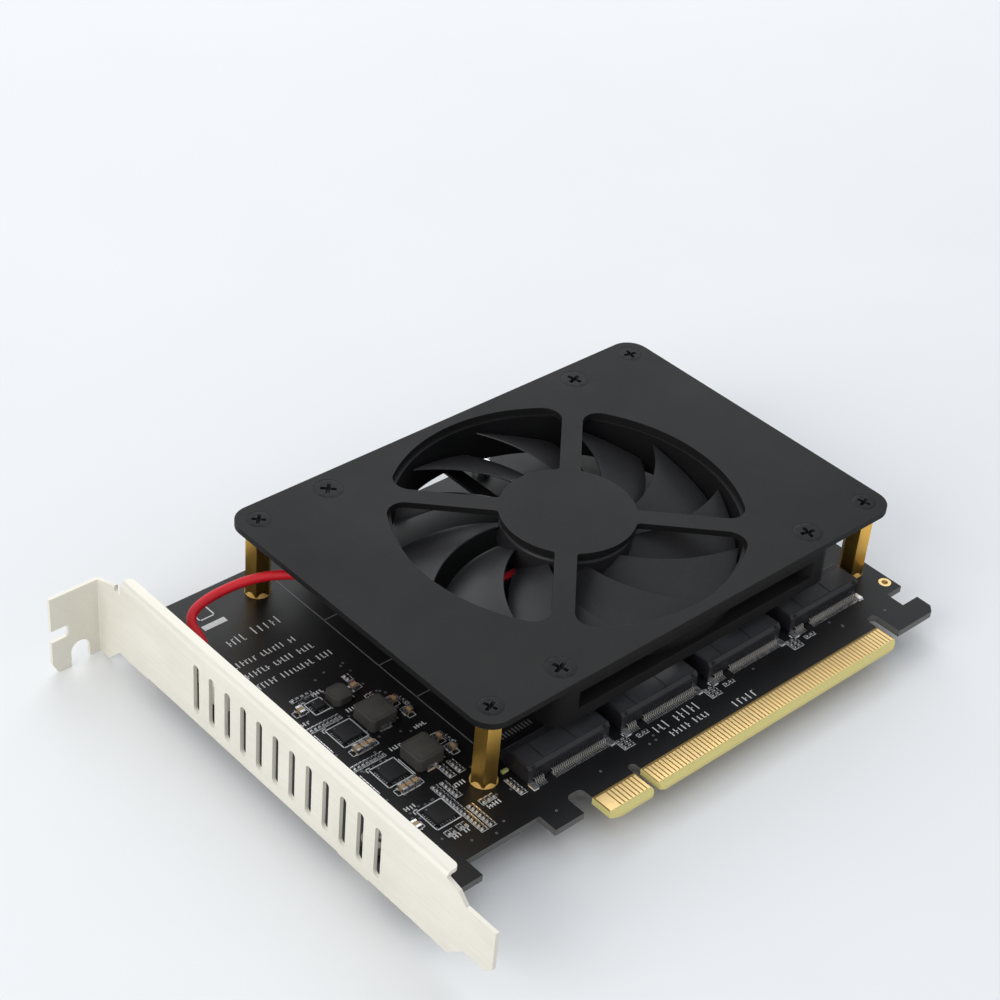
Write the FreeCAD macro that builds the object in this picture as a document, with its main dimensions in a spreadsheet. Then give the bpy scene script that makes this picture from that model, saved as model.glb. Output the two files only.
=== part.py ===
import FreeCAD, Part
import math
import os
import Sketcher

# A full-height adapter card with an x16 edge connector, a steel slot bracket, four sockets for
# 2280 solid-state drives, and a cover plate on brass pillars that carries an 80 mm fan.
#
# Frame: millimetres, +Z out of the component face, +X away from the bracket, +Y away from the edge
# connector. The origin is the edge connector's datum: the middle of its key notch, on the outer
# edge of the fingers, at the component face.

SIZES = {
    # circuit board
    "board_thickness": 1.57,
    "board_height": 101.6,
    "board_bracket_end": 57.05,
    "board_far_end": 87.4,
    "board_lower_edge": 8.85,
    "foot_length": 15.0,
    "foot_drop": 4.7,
    "guide_start": 23.6,
    "guide_end": 16.2,
    "guide_drop": 4.6,
    "hook_start": 75.0,
    "hook_lower_edge": 2.5,
    "hook_corner": 1.5,
    "latch_notch_bottom": 7.7,
    "latch_notch_width": 4.5,
    "latch_notch_depth": 4.8,
    "relief_top": 9.6,
    "relief_radius": 1.3,
    # edge connector
    "tongue_short_arm": 12.15,
    "tongue_long_arm": 72.15,
    "tongue_corner": 1.3,
    "key_width": 1.9,
    "key_top": 8.45,
    "bevel_height": 1.3,
    "bevel_depth": 0.45,
    "contact_pitch": 1.0,
    "contact_width": 0.7,
    "contact_bottom": 1.5,
    "contact_length": 4.3,
    "contact_thickness": 0.05,
    "first_contact": 1.5,
    # bracket
    "sheet": 0.86,
    "bend_inside": 0.35,
    "bracket_face": 58.01,
    "bracket_low": 2.15,
    "bracket_high": 16.5,
    "bracket_top": 105.2,
    "flange_width": 2.9,
    "flange_start": 2.9,
    "flange_end": 96.6,
    "head_low": 6.4,
    "head_high": 12.4,
    "tongue_low": 1.7,
    "tongue_end": 15.9,
    "tab_length": 11.45,
    "tab_leg_low": 7.0,
    "screw_notch_middle": 62.85,
    "screw_notch_width": 4.45,
    "screw_notch_top": 1.2,
    "tab_slit_low": 1.3,
    "tab_slit_height": 2.9,
    "tab_slit_depth": 4.0,
    "vent_count": 12,
    "vent_pitch": 5.03,
    "vent_first": 15.43,
    "vent_width": 1.8,
    "vent_low": 0.4,
    "vent_length": 12.15,
    "ear_length": 8.6,
    "ear_width": 9.0,
    "lower_ear": 22.0,
    "upper_ear": 92.0,
    "ear_hole_inset": 4.3,
    # cover plate and its pillars
    "cover_middle_along": 28.53,
    "cover_middle_up": 58.64,
    "cover_length": 117.7,
    "cover_width": 81.7,
    "cover_thickness": 1.5,
    "cover_corner": 5.0,
    "cover_hole_inset": 5.0,
    "pillar_length": 17.34,
    "pillar_flats": 5.0,
    "pillar_chamfer": 0.6,
    "opening_radius": 38.2,
    "cover_hub_radius": 14.8,
    "spoke_width": 4.6,
    "spoke_rim_fillet": 4.0,
    "spoke_hub_fillet": 0.8,
    # screws
    "thread_radius": 1.25,
    "shank_clearance": 0.03,
    "clearance_hole_radius": 1.6,
    "flat_head_radius": 2.7,
    "flat_head_height": 1.15,
    "cover_screw_length": 6.0,
    "fan_screw_head_radius": 3.25,
    "fan_screw_shank_radius": 2.0,
    "fan_screw_length": 9.0,
    "pan_head_radius": 2.75,
    "pan_head_height": 1.9,
    "pan_screw_length": 6.0,
    "ear_screw_length": 3.2,
    "recess_width": 0.6,
    "recess_span": 2.6,
    "recess_depth": 0.8,
    # fan frame
    "fan_side": 80.0,
    "fan_depth": 10.0,
    "fan_corner": 3.5,
    "fan_screw_pitch": 71.5,
    "fan_bore_radius": 37.2,
    "fan_barrel_radius": 38.8,
    "fan_flange_thickness": 2.9,
    "fan_post": 8.0,
    "fan_base_thickness": 0.76,
    "fan_base_radius": 14.2,
    "strut_width": 3.4,
    "strut_wall": 0.7,
    "strut_wall_height": 0.9,
    "bearing_tube_radius": 3.9,
    "bearing_tube_bore": 3.2,
    "bearing_tube_top": 13.9,
    # fan rotor and motor
    "running_gap": 0.03,
    "hub_radius": 14.4,
    "hub_wall": 1.1,
    "hub_top": 16.4,
    "hub_bottom": 10.1,
    "hub_edge_fillet": 0.8,
    "hub_boss_radius": 3.0,
    "hub_boss_length": 0.9,
    "blade_count": 11,
    "blade_tip_radius": 36.4,
    "blade_high": 16.1,
    "blade_low": 10.15,
    "blade_root_drop": 0.7,
    "blade_thickness": 0.9,
    "blade_span_angle": 29.0,
    "blade_sweep": 33.0,
    "shaft_radius": 1.5,
    "shaft_bottom": 8.35,
    "bush_bottom": 9.0,
    "clip_gap": 0.15,
    "clip_thickness": 0.25,
    "clip_radius": 2.4,
    "yoke_wall": 0.7,
    "yoke_bottom": 10.3,
    "magnet_wall": 1.4,
    "magnet_bottom": 10.6,
    "magnet_height": 3.8,
    "air_gap": 0.4,
    "pole_width": 3.0,
    "pole_face_length": 13.0,
    "pole_face_depth": 1.5,
    "stator_bottom": 10.9,
    "stator_height": 2.6,
    "coil_thickness": 0.9,
    "motor_board_radius": 12.2,
    "motor_board_thickness": 0.8,
    # drive sockets
    "socket_count": 4,
    "socket_pitch": 25.03,
    "socket_pillar_gap": 2.783,
    "socket_back": 16.4,
    "socket_length": 21.6,
    "socket_depth": 8.2,
    "socket_height": 4.2,
    "socket_lift": 0.1,
    "socket_slot_floor": 1.55,
    "socket_slot_height": 1.1,
    "socket_slot_depth": 5.4,
    "socket_slot_length": 19.9,
    "socket_key": 1.4,
    "socket_nose": 1.2,
    "tail_pitch": 0.5,
    "tail_width": 0.22,
    "tail_reach": 1.3,
    "tail_thickness": 0.15,
    "short_row": 5,
    "key_row": 4,
    "long_row": 29,
    "hold_down_width": 1.1,
    "drive_stop": 18.6,
    "drive_nut_distance": 80.0,
    "nut_radius": 2.2,
    "nut_height": 2.4,
    "nut_bore": 0.85,
    "nut_spigot_radius": 1.6,
    "nut_spigot_length": 1.2,
    # parts on the board
    "inductor_side": 6.6,
    "inductor_height": 3.0,
    "inductor_gap": 0.15,
    "terminal_width": 2.6,
    "terminal_thickness": 0.2,
    "terminal_height": 1.1,
    "small_inductor_side": 4.6,
    "small_inductor_height": 1.9,
    "chip_side": 4.6,
    "chip_height": 0.85,
    "small_chip_side": 2.4,
    "capacitor_length": 2.0,
    "capacitor_width": 1.25,
    "capacitor_height": 1.1,
    "resistor_length": 1.05,
    "resistor_width": 0.55,
    "resistor_height": 0.4,
    "end_share": 0.26,
    "lamp_gap": 0.35,
    "lamp_length": 1.6,
    "ring_radius": 1.9,
    "ring_bore": 1.2,
    "ring_place_along": 85.5,
    "ring_place_up": 15.3,
    # fan lead
    "lead_radius": 0.8,
    "header_width": 6.4,
    "header_length": 7.6,
    "header_height": 4.6,
    "header_along": -50.5,
    "header_start": 67.71,
    "header_wall": 0.7,
    "plug_width": 4.8,
    "plug_length": 6.4,
    "plug_height": 3.0,
    "pin_side": 0.6,
    "pin_pitch": 2.0,
}

# The lead's route, from the motor board along its strut, out under the cover and over to the plug.
LEAD_ROUTE = [
    (15.9, 58.64, 8.98),
    (-5.0, 58.64, 9.05),
    (-19.0, 58.64, 9.2),
    (-21.5, 76.0, 12.4),
    (-31.2, 86.2, 12.6),
    (-41.8, 91.6, 9.8),
    (-48.6, 89.6, 7.4),
    (-50.6, 83.6, 2.3),
    (-50.5, 77.4, 2.3),
]

doc = FreeCAD.newDocument("AdapterCard")
sheet = doc.addObject("Spreadsheet::Sheet", "Sizes")
for row, (name, number) in enumerate(SIZES.items(), start=1):
    sheet.set("A{}".format(row), name)
    sheet.set("B{}".format(row), str(number))
    sheet.setAlias("B{}".format(row), name)
doc.recompute()


class Size:
    """A value of the sheet, or one worked out from them, with the expression that gives it."""

    def __init__(self, value, text):
        self.value = float(value)
        self.text = text

    def __add__(self, other):
        other = as_size(other)
        return Size(self.value + other.value, "({} + {})".format(self.text, other.text))

    def __sub__(self, other):
        other = as_size(other)
        return Size(self.value - other.value, "({} - {})".format(self.text, other.text))

    def __mul__(self, other):
        other = as_size(other)
        return Size(self.value * other.value, "({} * {})".format(self.text, other.text))

    def __truediv__(self, other):
        other = as_size(other)
        return Size(self.value / other.value, "({} / {})".format(self.text, other.text))

    def __neg__(self):
        return self * -1

    def __radd__(self, other):
        return as_size(other) + self

    def __rsub__(self, other):
        return as_size(other) - self

    def __rmul__(self, other):
        return as_size(other) * self


def as_size(value):
    return value if isinstance(value, Size) else Size(value, "({:.8g})".format(value))


class Sheet:
    """Every named size of the sheet, as an attribute."""

    def __getattr__(self, name):
        return Size(sheet.get(name), "Sizes." + name)


S = Sheet()


def number(value):
    return as_size(value).value


def bind(thing, prop, size):
    """Ties a property to the sheet through an expression."""
    thing.setExpression(prop, as_size(size).text)


def place(thing, x=0, y=0, z=0):
    """Puts an object at a place that follows the sheet."""
    thing.Placement.Base = FreeCAD.Vector(number(x), number(y), number(z))
    for axis, size in (("x", x), ("y", y), ("z", z)):
        if isinstance(size, Size):
            bind(thing, "Placement.Base." + axis, size)


# ---------------------------------------------------------------- PartDesign helpers


def new_body(name):
    body = doc.addObject("PartDesign::Body", name)
    body.Label = name
    return body


def new_sketch(body, name, plane="XY", offset=0):
    """A sketch on one of the body's own planes, raised along the plane's normal."""
    sketch = body.newObject("Sketcher::SketchObject", body.Name + "_" + name)
    planes = [o for o in body.Origin.OriginFeatures if o.Role == plane + "_Plane"]
    sketch.AttachmentSupport = [(planes[0], "")]
    sketch.MapMode = "FlatFace"
    sketch.AttachmentOffset.Base = FreeCAD.Vector(0, 0, number(offset))
    bind(sketch, "AttachmentOffset.Base.z", offset)
    return sketch


def pin(sketch, geometry, point, x=None, y=None):
    """Holds a point of the sketch at its distances from the origin."""
    for kind, size in (("DistanceX", x), ("DistanceY", y)):
        if size is not None:
            index = sketch.addConstraint(Sketcher.Constraint(kind, geometry, point, number(size)))
            if isinstance(size, Size):
                sketch.setExpression("Constraints[{}]".format(index), size.text)


def measure(sketch, kind, where, size):
    """Adds a radius, an angle or a distance whose value follows the sheet."""
    index = sketch.addConstraint(Sketcher.Constraint(kind, *where, number(size)))
    if isinstance(size, Size):
        sketch.setExpression("Constraints[{}]".format(index), size.text)


def flat(x, y):
    return FreeCAD.Vector(number(x), number(y), 0)


def outline(sketch, corners):
    """A closed outline of straight sides through the corners."""
    first = sketch.GeometryCount
    count = len(corners)
    sides = []
    for start, end in zip(corners, corners[1:] + corners[:1]):
        sides.append(Part.LineSegment(flat(*start), flat(*end)))
    sketch.addGeometry(sides, False)
    for k in range(count):
        following = first + (k + 1) % count
        sketch.addConstraint(Sketcher.Constraint("Coincident", first + k, 2, following, 1))
        pin(sketch, first + k, 1, *corners[k])


def rectangle(sketch, x, y, width, height):
    """A rectangle of this width and height centred on x, y."""
    left, right = x - width / 2, x + width / 2
    low, high = y - height / 2, y + height / 2
    outline(sketch, [(left, low), (right, low), (right, high), (left, high)])


def circle(sketch, x, y, radius):
    centre = flat(x, y)
    up = FreeCAD.Vector(0, 0, 1)
    index = sketch.addGeometry(Part.Circle(centre, up, number(radius)), False)
    measure(sketch, "Radius", [index], radius)
    pin(sketch, index, 3, x, y)


def round_slot(sketch, x, low, high, width, open_end=False):
    """An upright slot with a round top, and a round bottom too unless that end is open."""
    half = width / 2
    left, right = x - half, x + half
    top = high - half
    bottom = low if open_end else low + half
    first = sketch.GeometryCount
    up = FreeCAD.Vector(0, 0, 1)
    r = number(half)
    sketch.addGeometry(Part.LineSegment(flat(left, bottom), flat(left, top)), False)
    sketch.addGeometry(Part.LineSegment(flat(right, top), flat(right, bottom)), False)
    upper = Part.Circle(flat(x, top), up, r)
    sketch.addGeometry(Part.ArcOfCircle(upper, 0, math.pi), False)
    if open_end:
        sketch.addGeometry(Part.LineSegment(flat(right, bottom), flat(left, bottom)), False)
    else:
        lower = Part.Circle(flat(x, bottom), up, r)
        sketch.addGeometry(Part.ArcOfCircle(lower, math.pi, 2 * math.pi), False)
    sketch.addConstraint(Sketcher.Constraint("Coincident", first + 2, 1, first + 1, 1))
    sketch.addConstraint(Sketcher.Constraint("Coincident", first + 2, 2, first, 2))
    pin(sketch, first, 1, left, bottom)
    pin(sketch, first, 2, left, top)
    pin(sketch, first + 1, 1, right, top)
    pin(sketch, first + 1, 2, right, bottom)
    pin(sketch, first + 2, 3, None, top)
    if open_end:
        sketch.addConstraint(Sketcher.Constraint("Coincident", first + 3, 1, first + 1, 2))
        sketch.addConstraint(Sketcher.Constraint("Coincident", first + 3, 2, first, 1))
    else:
        sketch.addConstraint(Sketcher.Constraint("Coincident", first + 3, 1, first, 1))
        sketch.addConstraint(Sketcher.Constraint("Coincident", first + 3, 2, first + 1, 2))
        pin(sketch, first + 3, 3, None, bottom)


def bend(sketch, x, y, inner, outer, quadrant):
    """A quarter ring round x, y: the section of a folded sheet, from quadrant * 90 degrees on."""
    first = sketch.GeometryCount
    up = FreeCAD.Vector(0, 0, 1)
    start = quadrant * math.pi / 2
    end = start + math.pi / 2
    for radius in (inner, outer):
        round_edge = Part.Circle(flat(x, y), up, number(radius))
        sketch.addGeometry(Part.ArcOfCircle(round_edge, start, end), False)
    arcs = [sketch.Geometry[first], sketch.Geometry[first + 1]]
    sketch.addGeometry(Part.LineSegment(arcs[0].StartPoint, arcs[1].StartPoint), False)
    sketch.addGeometry(Part.LineSegment(arcs[0].EndPoint, arcs[1].EndPoint), False)
    for k, radius in enumerate((inner, outer)):
        sketch.addConstraint(Sketcher.Constraint("Coincident", first + 2, k + 1, first + k, 1))
        sketch.addConstraint(Sketcher.Constraint("Coincident", first + 3, k + 1, first + k, 2))
        pin(sketch, first + k, 3, x, y)
        measure(sketch, "Radius", [first + k], radius)
        upright = quadrant % 2 == 1
        pin(sketch, first + k, 1, x if upright else None, None if upright else y)
        pin(sketch, first + k, 2, None if upright else x, y if upright else None)


def volume_of(body):
    return body.Shape.Volume if body.Tip else 0.0


def feature(body, kind, name):
    made = body.newObject("PartDesign::" + kind, body.Name + "_" + name)
    return made


def pad(body, name, sketch, length, reverse=False, both_ways=False):
    made = feature(body, "Pad", name)
    made.Profile = sketch
    made.Reversed = reverse
    if both_ways:
        made.SideType = "Symmetric"
    bind(made, "Length", length)
    doc.recompute()
    return made


def pocket(body, name, sketch, length=None, reverse=False):
    """Cuts the sketch out of the body, right through it or to a depth, and sees that it cuts."""
    before = volume_of(body)
    made = feature(body, "Pocket", name)
    made.Profile = sketch
    made.Reversed = reverse
    if length is None:
        made.Type = "ThroughAll"
        made.SideType = "Symmetric"
    else:
        bind(made, "Length", length)
    doc.recompute()
    if volume_of(body) > before - 1e-6:
        raise ValueError(made.Name + " cuts nothing")
    return made


def turned(body, name, profile, cut=False):
    """Turns a profile of (radius, height) corners round the body's own Z axis."""
    sketch = new_sketch(body, name + "_profile", "XZ")
    outline(sketch, profile)
    made = feature(body, "Groove" if cut else "Revolution", name)
    made.Profile = sketch
    made.ReferenceAxis = (sketch, ["V_Axis"])
    made.Angle = 360
    doc.recompute()
    return made


def repeat_round(body, name, original, count):
    made = feature(body, "PolarPattern", name)
    made.Originals = [original]
    axes = [o for o in body.Origin.OriginFeatures if o.Role == "Z_Axis"]
    made.Axis = (axes[0], [""])
    made.Angle = 360
    bind(made, "Occurrences", count)
    body.Tip = made
    doc.recompute()
    return made


def repeat_along(body, name, original, axis, length, count):
    made = feature(body, "LinearPattern", name)
    made.Originals = [original]
    axes = [o for o in body.Origin.OriginFeatures if o.Role == axis + "_Axis"]
    made.Direction = (axes[0], [""])
    bind(made, "Length", length)
    bind(made, "Occurrences", count)
    body.Tip = made
    doc.recompute()
    return made


def soften(body, name, chosen, size, kind="Fillet"):
    """A fillet or chamfer on the edges of the body that the test chooses."""
    base = body.Tip
    names = []
    for k, edge in enumerate(base.Shape.Edges, start=1):
        if chosen(edge):
            names.append("Edge{}".format(k))
    if not names:
        raise ValueError(body.Name + " has no edge for " + name)
    made = feature(body, kind, name)
    made.Base = (base, names)
    bind(made, "Radius" if kind == "Fillet" else "Size", size)
    doc.recompute()
    return made


def upright_at(places):
    """Chooses the edges along Z that stand at one of the places."""
    spots = [(number(x), number(y)) for x, y in places]

    def chosen(edge):
        ends = [v.Point for v in edge.Vertexes]
        if len(ends) != 2 or abs(ends[0].z - ends[1].z) < 0.01:
            return False
        if math.hypot(ends[0].x - ends[1].x, ends[0].y - ends[1].y) > 0.001:
            return False
        return any(math.hypot(ends[0].x - x, ends[0].y - y) < 0.01 for x, y in spots)

    return chosen


def upright_at_radius(radius):
    """Chooses the edges along Z at this distance from the body's Z axis."""

    def chosen(edge):
        ends = [v.Point for v in edge.Vertexes]
        if len(ends) != 2 or abs(ends[0].z - ends[1].z) < 0.01:
            return False
        return all(abs(math.hypot(p.x, p.y) - number(radius)) < 0.01 for p in ends)

    return chosen


def group(name, things):
    """One sub-part made of several separate like pieces."""
    made = doc.addObject("Part::Compound", name)
    made.Links = things
    made.Label = name
    return made


def copies(name, prototype, places):
    """One sub-part made of copies of a piece, each at an (x, y, z, turn) of its own."""
    links = []
    for k, (x, y, z, turn) in enumerate(places, start=1):
        link = doc.addObject("App::Link", "{}_copy{}".format(name, k))
        link.LinkedObject = prototype
        turned_by = FreeCAD.Rotation(FreeCAD.Vector(0, 0, 1), turn)
        link.Placement = FreeCAD.Placement(FreeCAD.Vector(0, 0, 0), turned_by)
        place(link, x, y, z)
        links.append(link)
    return group(name, links)


def block(name, width, depth, height):
    """A box that stands on the XY plane, centred on the Z axis."""
    body = new_body(name)
    sketch = new_sketch(body, "outline")
    rectangle(sketch, as_size(0), as_size(0), width, depth)
    pad(body, "block", sketch, height)
    return body


parts = []


def keep(thing, label):
    """Counts an object as a sub-part of the card."""
    thing.Label = label
    parts.append(thing)
    return thing


# ---------------------------------------------------------------- places shared by the pieces

FACE = as_size(0)
UNDERSIDE = -S.board_thickness
COVER_X = S.cover_middle_along
COVER_Y = S.cover_middle_up
COVER_LOW = S.pillar_length
COVER_HIGH = S.pillar_length + S.cover_thickness
PILLAR_X = S.cover_length / 2 - S.cover_hole_inset
PILLAR_Y = S.cover_width / 2 - S.cover_hole_inset
PILLAR_ACROSS = S.pillar_flats * 2 / math.sqrt(3)
FAN_LOW = COVER_LOW - S.fan_depth
SHANK = S.thread_radius - S.shank_clearance
BRACKET_INSIDE = S.bracket_face - S.sheet
EAR_HOLE_X = -(BRACKET_INSIDE - S.ear_hole_inset)
NUT_Y = S.drive_stop + S.drive_nut_distance


def corners_of(half_x, half_y):
    return [(a * half_x, b * half_y) for a in (-1, 1) for b in (-1, 1)]


PILLAR_LEFT = COVER_X - PILLAR_X
PILLAR_PLACES = [(COVER_X + x, COVER_Y + y) for x, y in corners_of(PILLAR_X, PILLAR_Y)]
FAN_SCREWS = corners_of(S.fan_screw_pitch / 2, S.fan_screw_pitch / 2)
EAR_HOLES = [(EAR_HOLE_X, S.lower_ear), (EAR_HOLE_X, S.upper_ear)]
# The sockets stand in a row between the left and right pillars: sixteen lanes feed four drives,
# and a shorter cover leaves room for fewer.
FIRST_SOCKET = PILLAR_LEFT + PILLAR_ACROSS / 2 + S.socket_pillar_gap + S.socket_length / 2
ROW_END = COVER_X + PILLAR_X - PILLAR_ACROSS / 2 - S.socket_length / 2
SOCKETS = []
for k in range(int(S.socket_count.value)):
    if (FIRST_SOCKET + k * S.socket_pitch).value < ROW_END.value:
        SOCKETS.append(FIRST_SOCKET + k * S.socket_pitch)


# ---------------------------------------------------------------- circuit board


def make_board():
    body = new_body("circuit_board")
    left, right = -S.board_bracket_end, S.board_far_end
    edge = S.board_lower_edge
    foot_end = left + S.foot_length
    tongue_left, tongue_right = -S.tongue_short_arm, S.tongue_long_arm
    corner = S.tongue_corner
    notch_top = S.latch_notch_bottom + S.latch_notch_width
    notch_x = right - S.latch_notch_depth
    corners = [
        (left, edge - S.foot_drop),
        (foot_end, edge - S.foot_drop),
        (foot_end, edge),
        (-S.guide_start, edge),
        (-S.guide_start, edge - S.guide_drop),
        (-S.guide_end, edge - S.guide_drop),
        (-S.guide_end, S.relief_top),
        (tongue_left, S.relief_top),
        (tongue_left, corner),
        (tongue_left + corner, FACE),
        (tongue_right - corner, FACE),
        (tongue_right, corner),
        (tongue_right, S.relief_top),
        (S.hook_start, S.relief_top),
        (S.hook_start, S.hook_lower_edge),
        (right - S.hook_corner, S.hook_lower_edge),
        (right, S.hook_lower_edge + S.hook_corner),
        (right, S.latch_notch_bottom),
        (notch_x, S.latch_notch_bottom),
        (notch_x, notch_top),
        (right, notch_top),
        (right, S.board_height),
        (left, S.board_height),
    ]
    sketch = new_sketch(body, "outline")
    outline(sketch, corners)
    pad(body, "laminate", sketch, S.board_thickness, reverse=True)

    key = new_sketch(body, "key_notch")
    round_slot(key, FACE, as_size(-1), S.key_top, S.key_width, open_end=True)
    pocket(body, "key", key)

    # a bevel on both faces lets the tongue enter its socket
    bevel = new_sketch(body, "bevel_profile", "YZ", tongue_left)
    past = as_size(-0.5)
    over = as_size(0.5)
    outline(bevel, [(past, -S.bevel_depth), (FACE, -S.bevel_depth), (S.bevel_height, FACE),
                    (S.bevel_height, over), (past, over)])
    low = UNDERSIDE + S.bevel_depth
    outline(bevel, [(past, low), (past, UNDERSIDE - over), (S.bevel_height, UNDERSIDE - over),
                    (S.bevel_height, UNDERSIDE), (FACE, low)])
    tongue = S.tongue_short_arm + S.tongue_long_arm
    pocket(body, "bevel", bevel, tongue, reverse=True)

    holes = new_sketch(body, "holes")
    for x, y in PILLAR_PLACES + EAR_HOLES:
        circle(holes, x, y, S.clearance_hole_radius)
    for x in SOCKETS:
        circle(holes, x, NUT_Y, S.nut_spigot_radius + S.shank_clearance)
    circle(holes, S.ring_place_along, S.ring_place_up, S.ring_bore)
    pocket(body, "drilling", holes)

    reliefs = [(-S.guide_end, S.relief_top), (tongue_left, S.relief_top),
               (tongue_right, S.relief_top), (S.hook_start, S.relief_top)]
    soften(body, "relief_rounds", upright_at(reliefs), S.relief_radius)
    return keep(body, "circuit_board")


# ---------------------------------------------------------------- edge connector contacts


def make_contacts(label, z):
    gold = block(label + "_one", S.contact_width, S.contact_length, S.contact_thickness)
    middle = S.contact_bottom + S.contact_length / 2
    places = []
    for k in range(int(round((S.tongue_short_arm.value - 1.0) / S.contact_pitch.value))):
        places.append((-S.first_contact - k * S.contact_pitch, middle, z, 0))
    for k in range(int(round((S.tongue_long_arm.value - 1.0) / S.contact_pitch.value))):
        places.append((S.first_contact + k * S.contact_pitch, middle, z, 0))
    return keep(copies(label, gold, places), label)


# ---------------------------------------------------------------- bracket


def make_bracket():
    """One folded sheet: face, long stiffening flange, screw tab and two ears under the board."""
    body = new_body("bracket")
    face = -S.bracket_face
    inside = face + S.sheet
    outside = S.bend_inside + S.sheet
    top = S.bracket_top
    fold = top - outside
    high, low = S.bracket_high, -S.bracket_low
    shoulder = high - outside
    step = S.head_low - S.bracket_low
    sketch = new_sketch(body, "face_outline", "YZ", face)
    outline(sketch, [
        (fold, -S.head_low),
        (fold, S.head_high),
        (S.flange_end + 1.9, S.head_high + 2.0),
        (S.flange_end + 1.9, S.head_high + 0.9),
        (S.flange_end, S.head_high + 0.9),
        (S.flange_end, shoulder),
        (-S.flange_start, shoulder),
        (-S.flange_start - 3.1, S.head_high + 2.2),
        (-S.flange_start - 5.3, S.head_high),
        (-S.tongue_end, S.head_high),
        (-S.tongue_end, S.tongue_low + 1.7),
        (-S.tongue_end + 1.7, S.tongue_low),
        (-S.flange_start - 5.6, S.tongue_low),
        (-S.flange_start - 1.7, low),
        (top - 8.0, low),
        (top - 8.0 + step, -S.head_low),
    ])
    pad(body, "face", sketch, S.sheet)

    # the flange folds over the board along the face's upper edge
    flange_length = S.flange_start + S.flange_end
    flange_bend = new_sketch(body, "flange_bend_section", "XZ", S.flange_start)
    bend(flange_bend, face + outside, shoulder, S.bend_inside, outside, 1)
    pad(body, "flange_bend", flange_bend, flange_length, reverse=True)
    flange = new_sketch(body, "flange_outline", "XY", high - S.sheet)
    inner = face + S.flange_width
    outline(flange, [(face + outside, -S.flange_start), (inner, -S.flange_start),
                     (inner, S.flange_end), (face + outside, S.flange_end)])
    pad(body, "flange", flange, S.sheet)
    soften(body, "flange_corners", upright_at([(inner, -S.flange_start), (inner, S.flange_end)]),
           S.flange_width * 0.4)

    # the tab folds outwards, to be screwed down on the chassis
    tab_bend = new_sketch(body, "tab_bend_section", "XY", -S.head_low)
    tab_start = inside - outside
    bend(tab_bend, tab_start, fold, S.bend_inside, outside, 0)
    pad(body, "tab_bend", tab_bend, S.head_low + S.head_high)
    tab_end = face - S.tab_length
    slit_high = S.tab_slit_low + S.tab_slit_height
    slit_end = tab_end + S.tab_slit_depth
    tab = new_sketch(body, "tab_outline", "XZ", -top)
    outline(tab, [
        (tab_start, S.head_high),
        (tab_end, S.head_high),
        (tab_end, slit_high),
        (slit_end, slit_high),
        (slit_end, S.tab_slit_low),
        (tab_end, S.tab_slit_low),
        (tab_end, -S.tab_leg_low + 2.5),
        (tab_end + 1.3, -S.tab_leg_low),
        (-S.screw_notch_middle, -S.tab_leg_low),
        (-S.screw_notch_middle, -S.head_low),
        (tab_start, -S.head_low),
    ])
    pad(body, "tab", tab, S.sheet)
    notch = new_sketch(body, "screw_notch_outline", "XZ", -top - 1)
    round_slot(notch, -S.screw_notch_middle, -S.tab_leg_low - 1, -S.screw_notch_top,
               S.screw_notch_width, open_end=True)
    pocket(body, "screw_notch", notch, S.sheet + 2, reverse=True)

    ears = new_sketch(body, "ear_outline", "XY", UNDERSIDE - S.sheet)
    ear_end = inside + S.ear_length
    for y in (S.lower_ear, S.upper_ear):
        rectangle(ears, (face + ear_end) / 2, y, ear_end - face, S.ear_width)
    pad(body, "ears", ears, S.sheet)
    ear_corners = [(ear_end, y + a * S.ear_width / 2)
                   for y in (S.lower_ear, S.upper_ear) for a in (-1, 1)]
    soften(body, "ear_corners", upright_at(ear_corners), S.ear_width * 0.2)
    ear_holes = new_sketch(body, "ear_hole_circles", "XY", UNDERSIDE - S.sheet - 1)
    for x, y in EAR_HOLES:
        circle(ear_holes, x, y, S.thread_radius)
    pocket(body, "ear_threads", ear_holes, S.sheet + 2, reverse=True)

    vent = new_sketch(body, "vent_outline", "YZ", face - 1)
    round_slot(vent, S.vent_first, S.vent_low, S.vent_low + S.vent_length, S.vent_width)
    first = pocket(body, "vent", vent, S.sheet + 2, reverse=True)
    repeat_along(body, "vents", first, "Y", S.vent_pitch * (S.vent_count - 1), S.vent_count)
    return keep(body, "bracket")


# ---------------------------------------------------------------- cover plate


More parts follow.
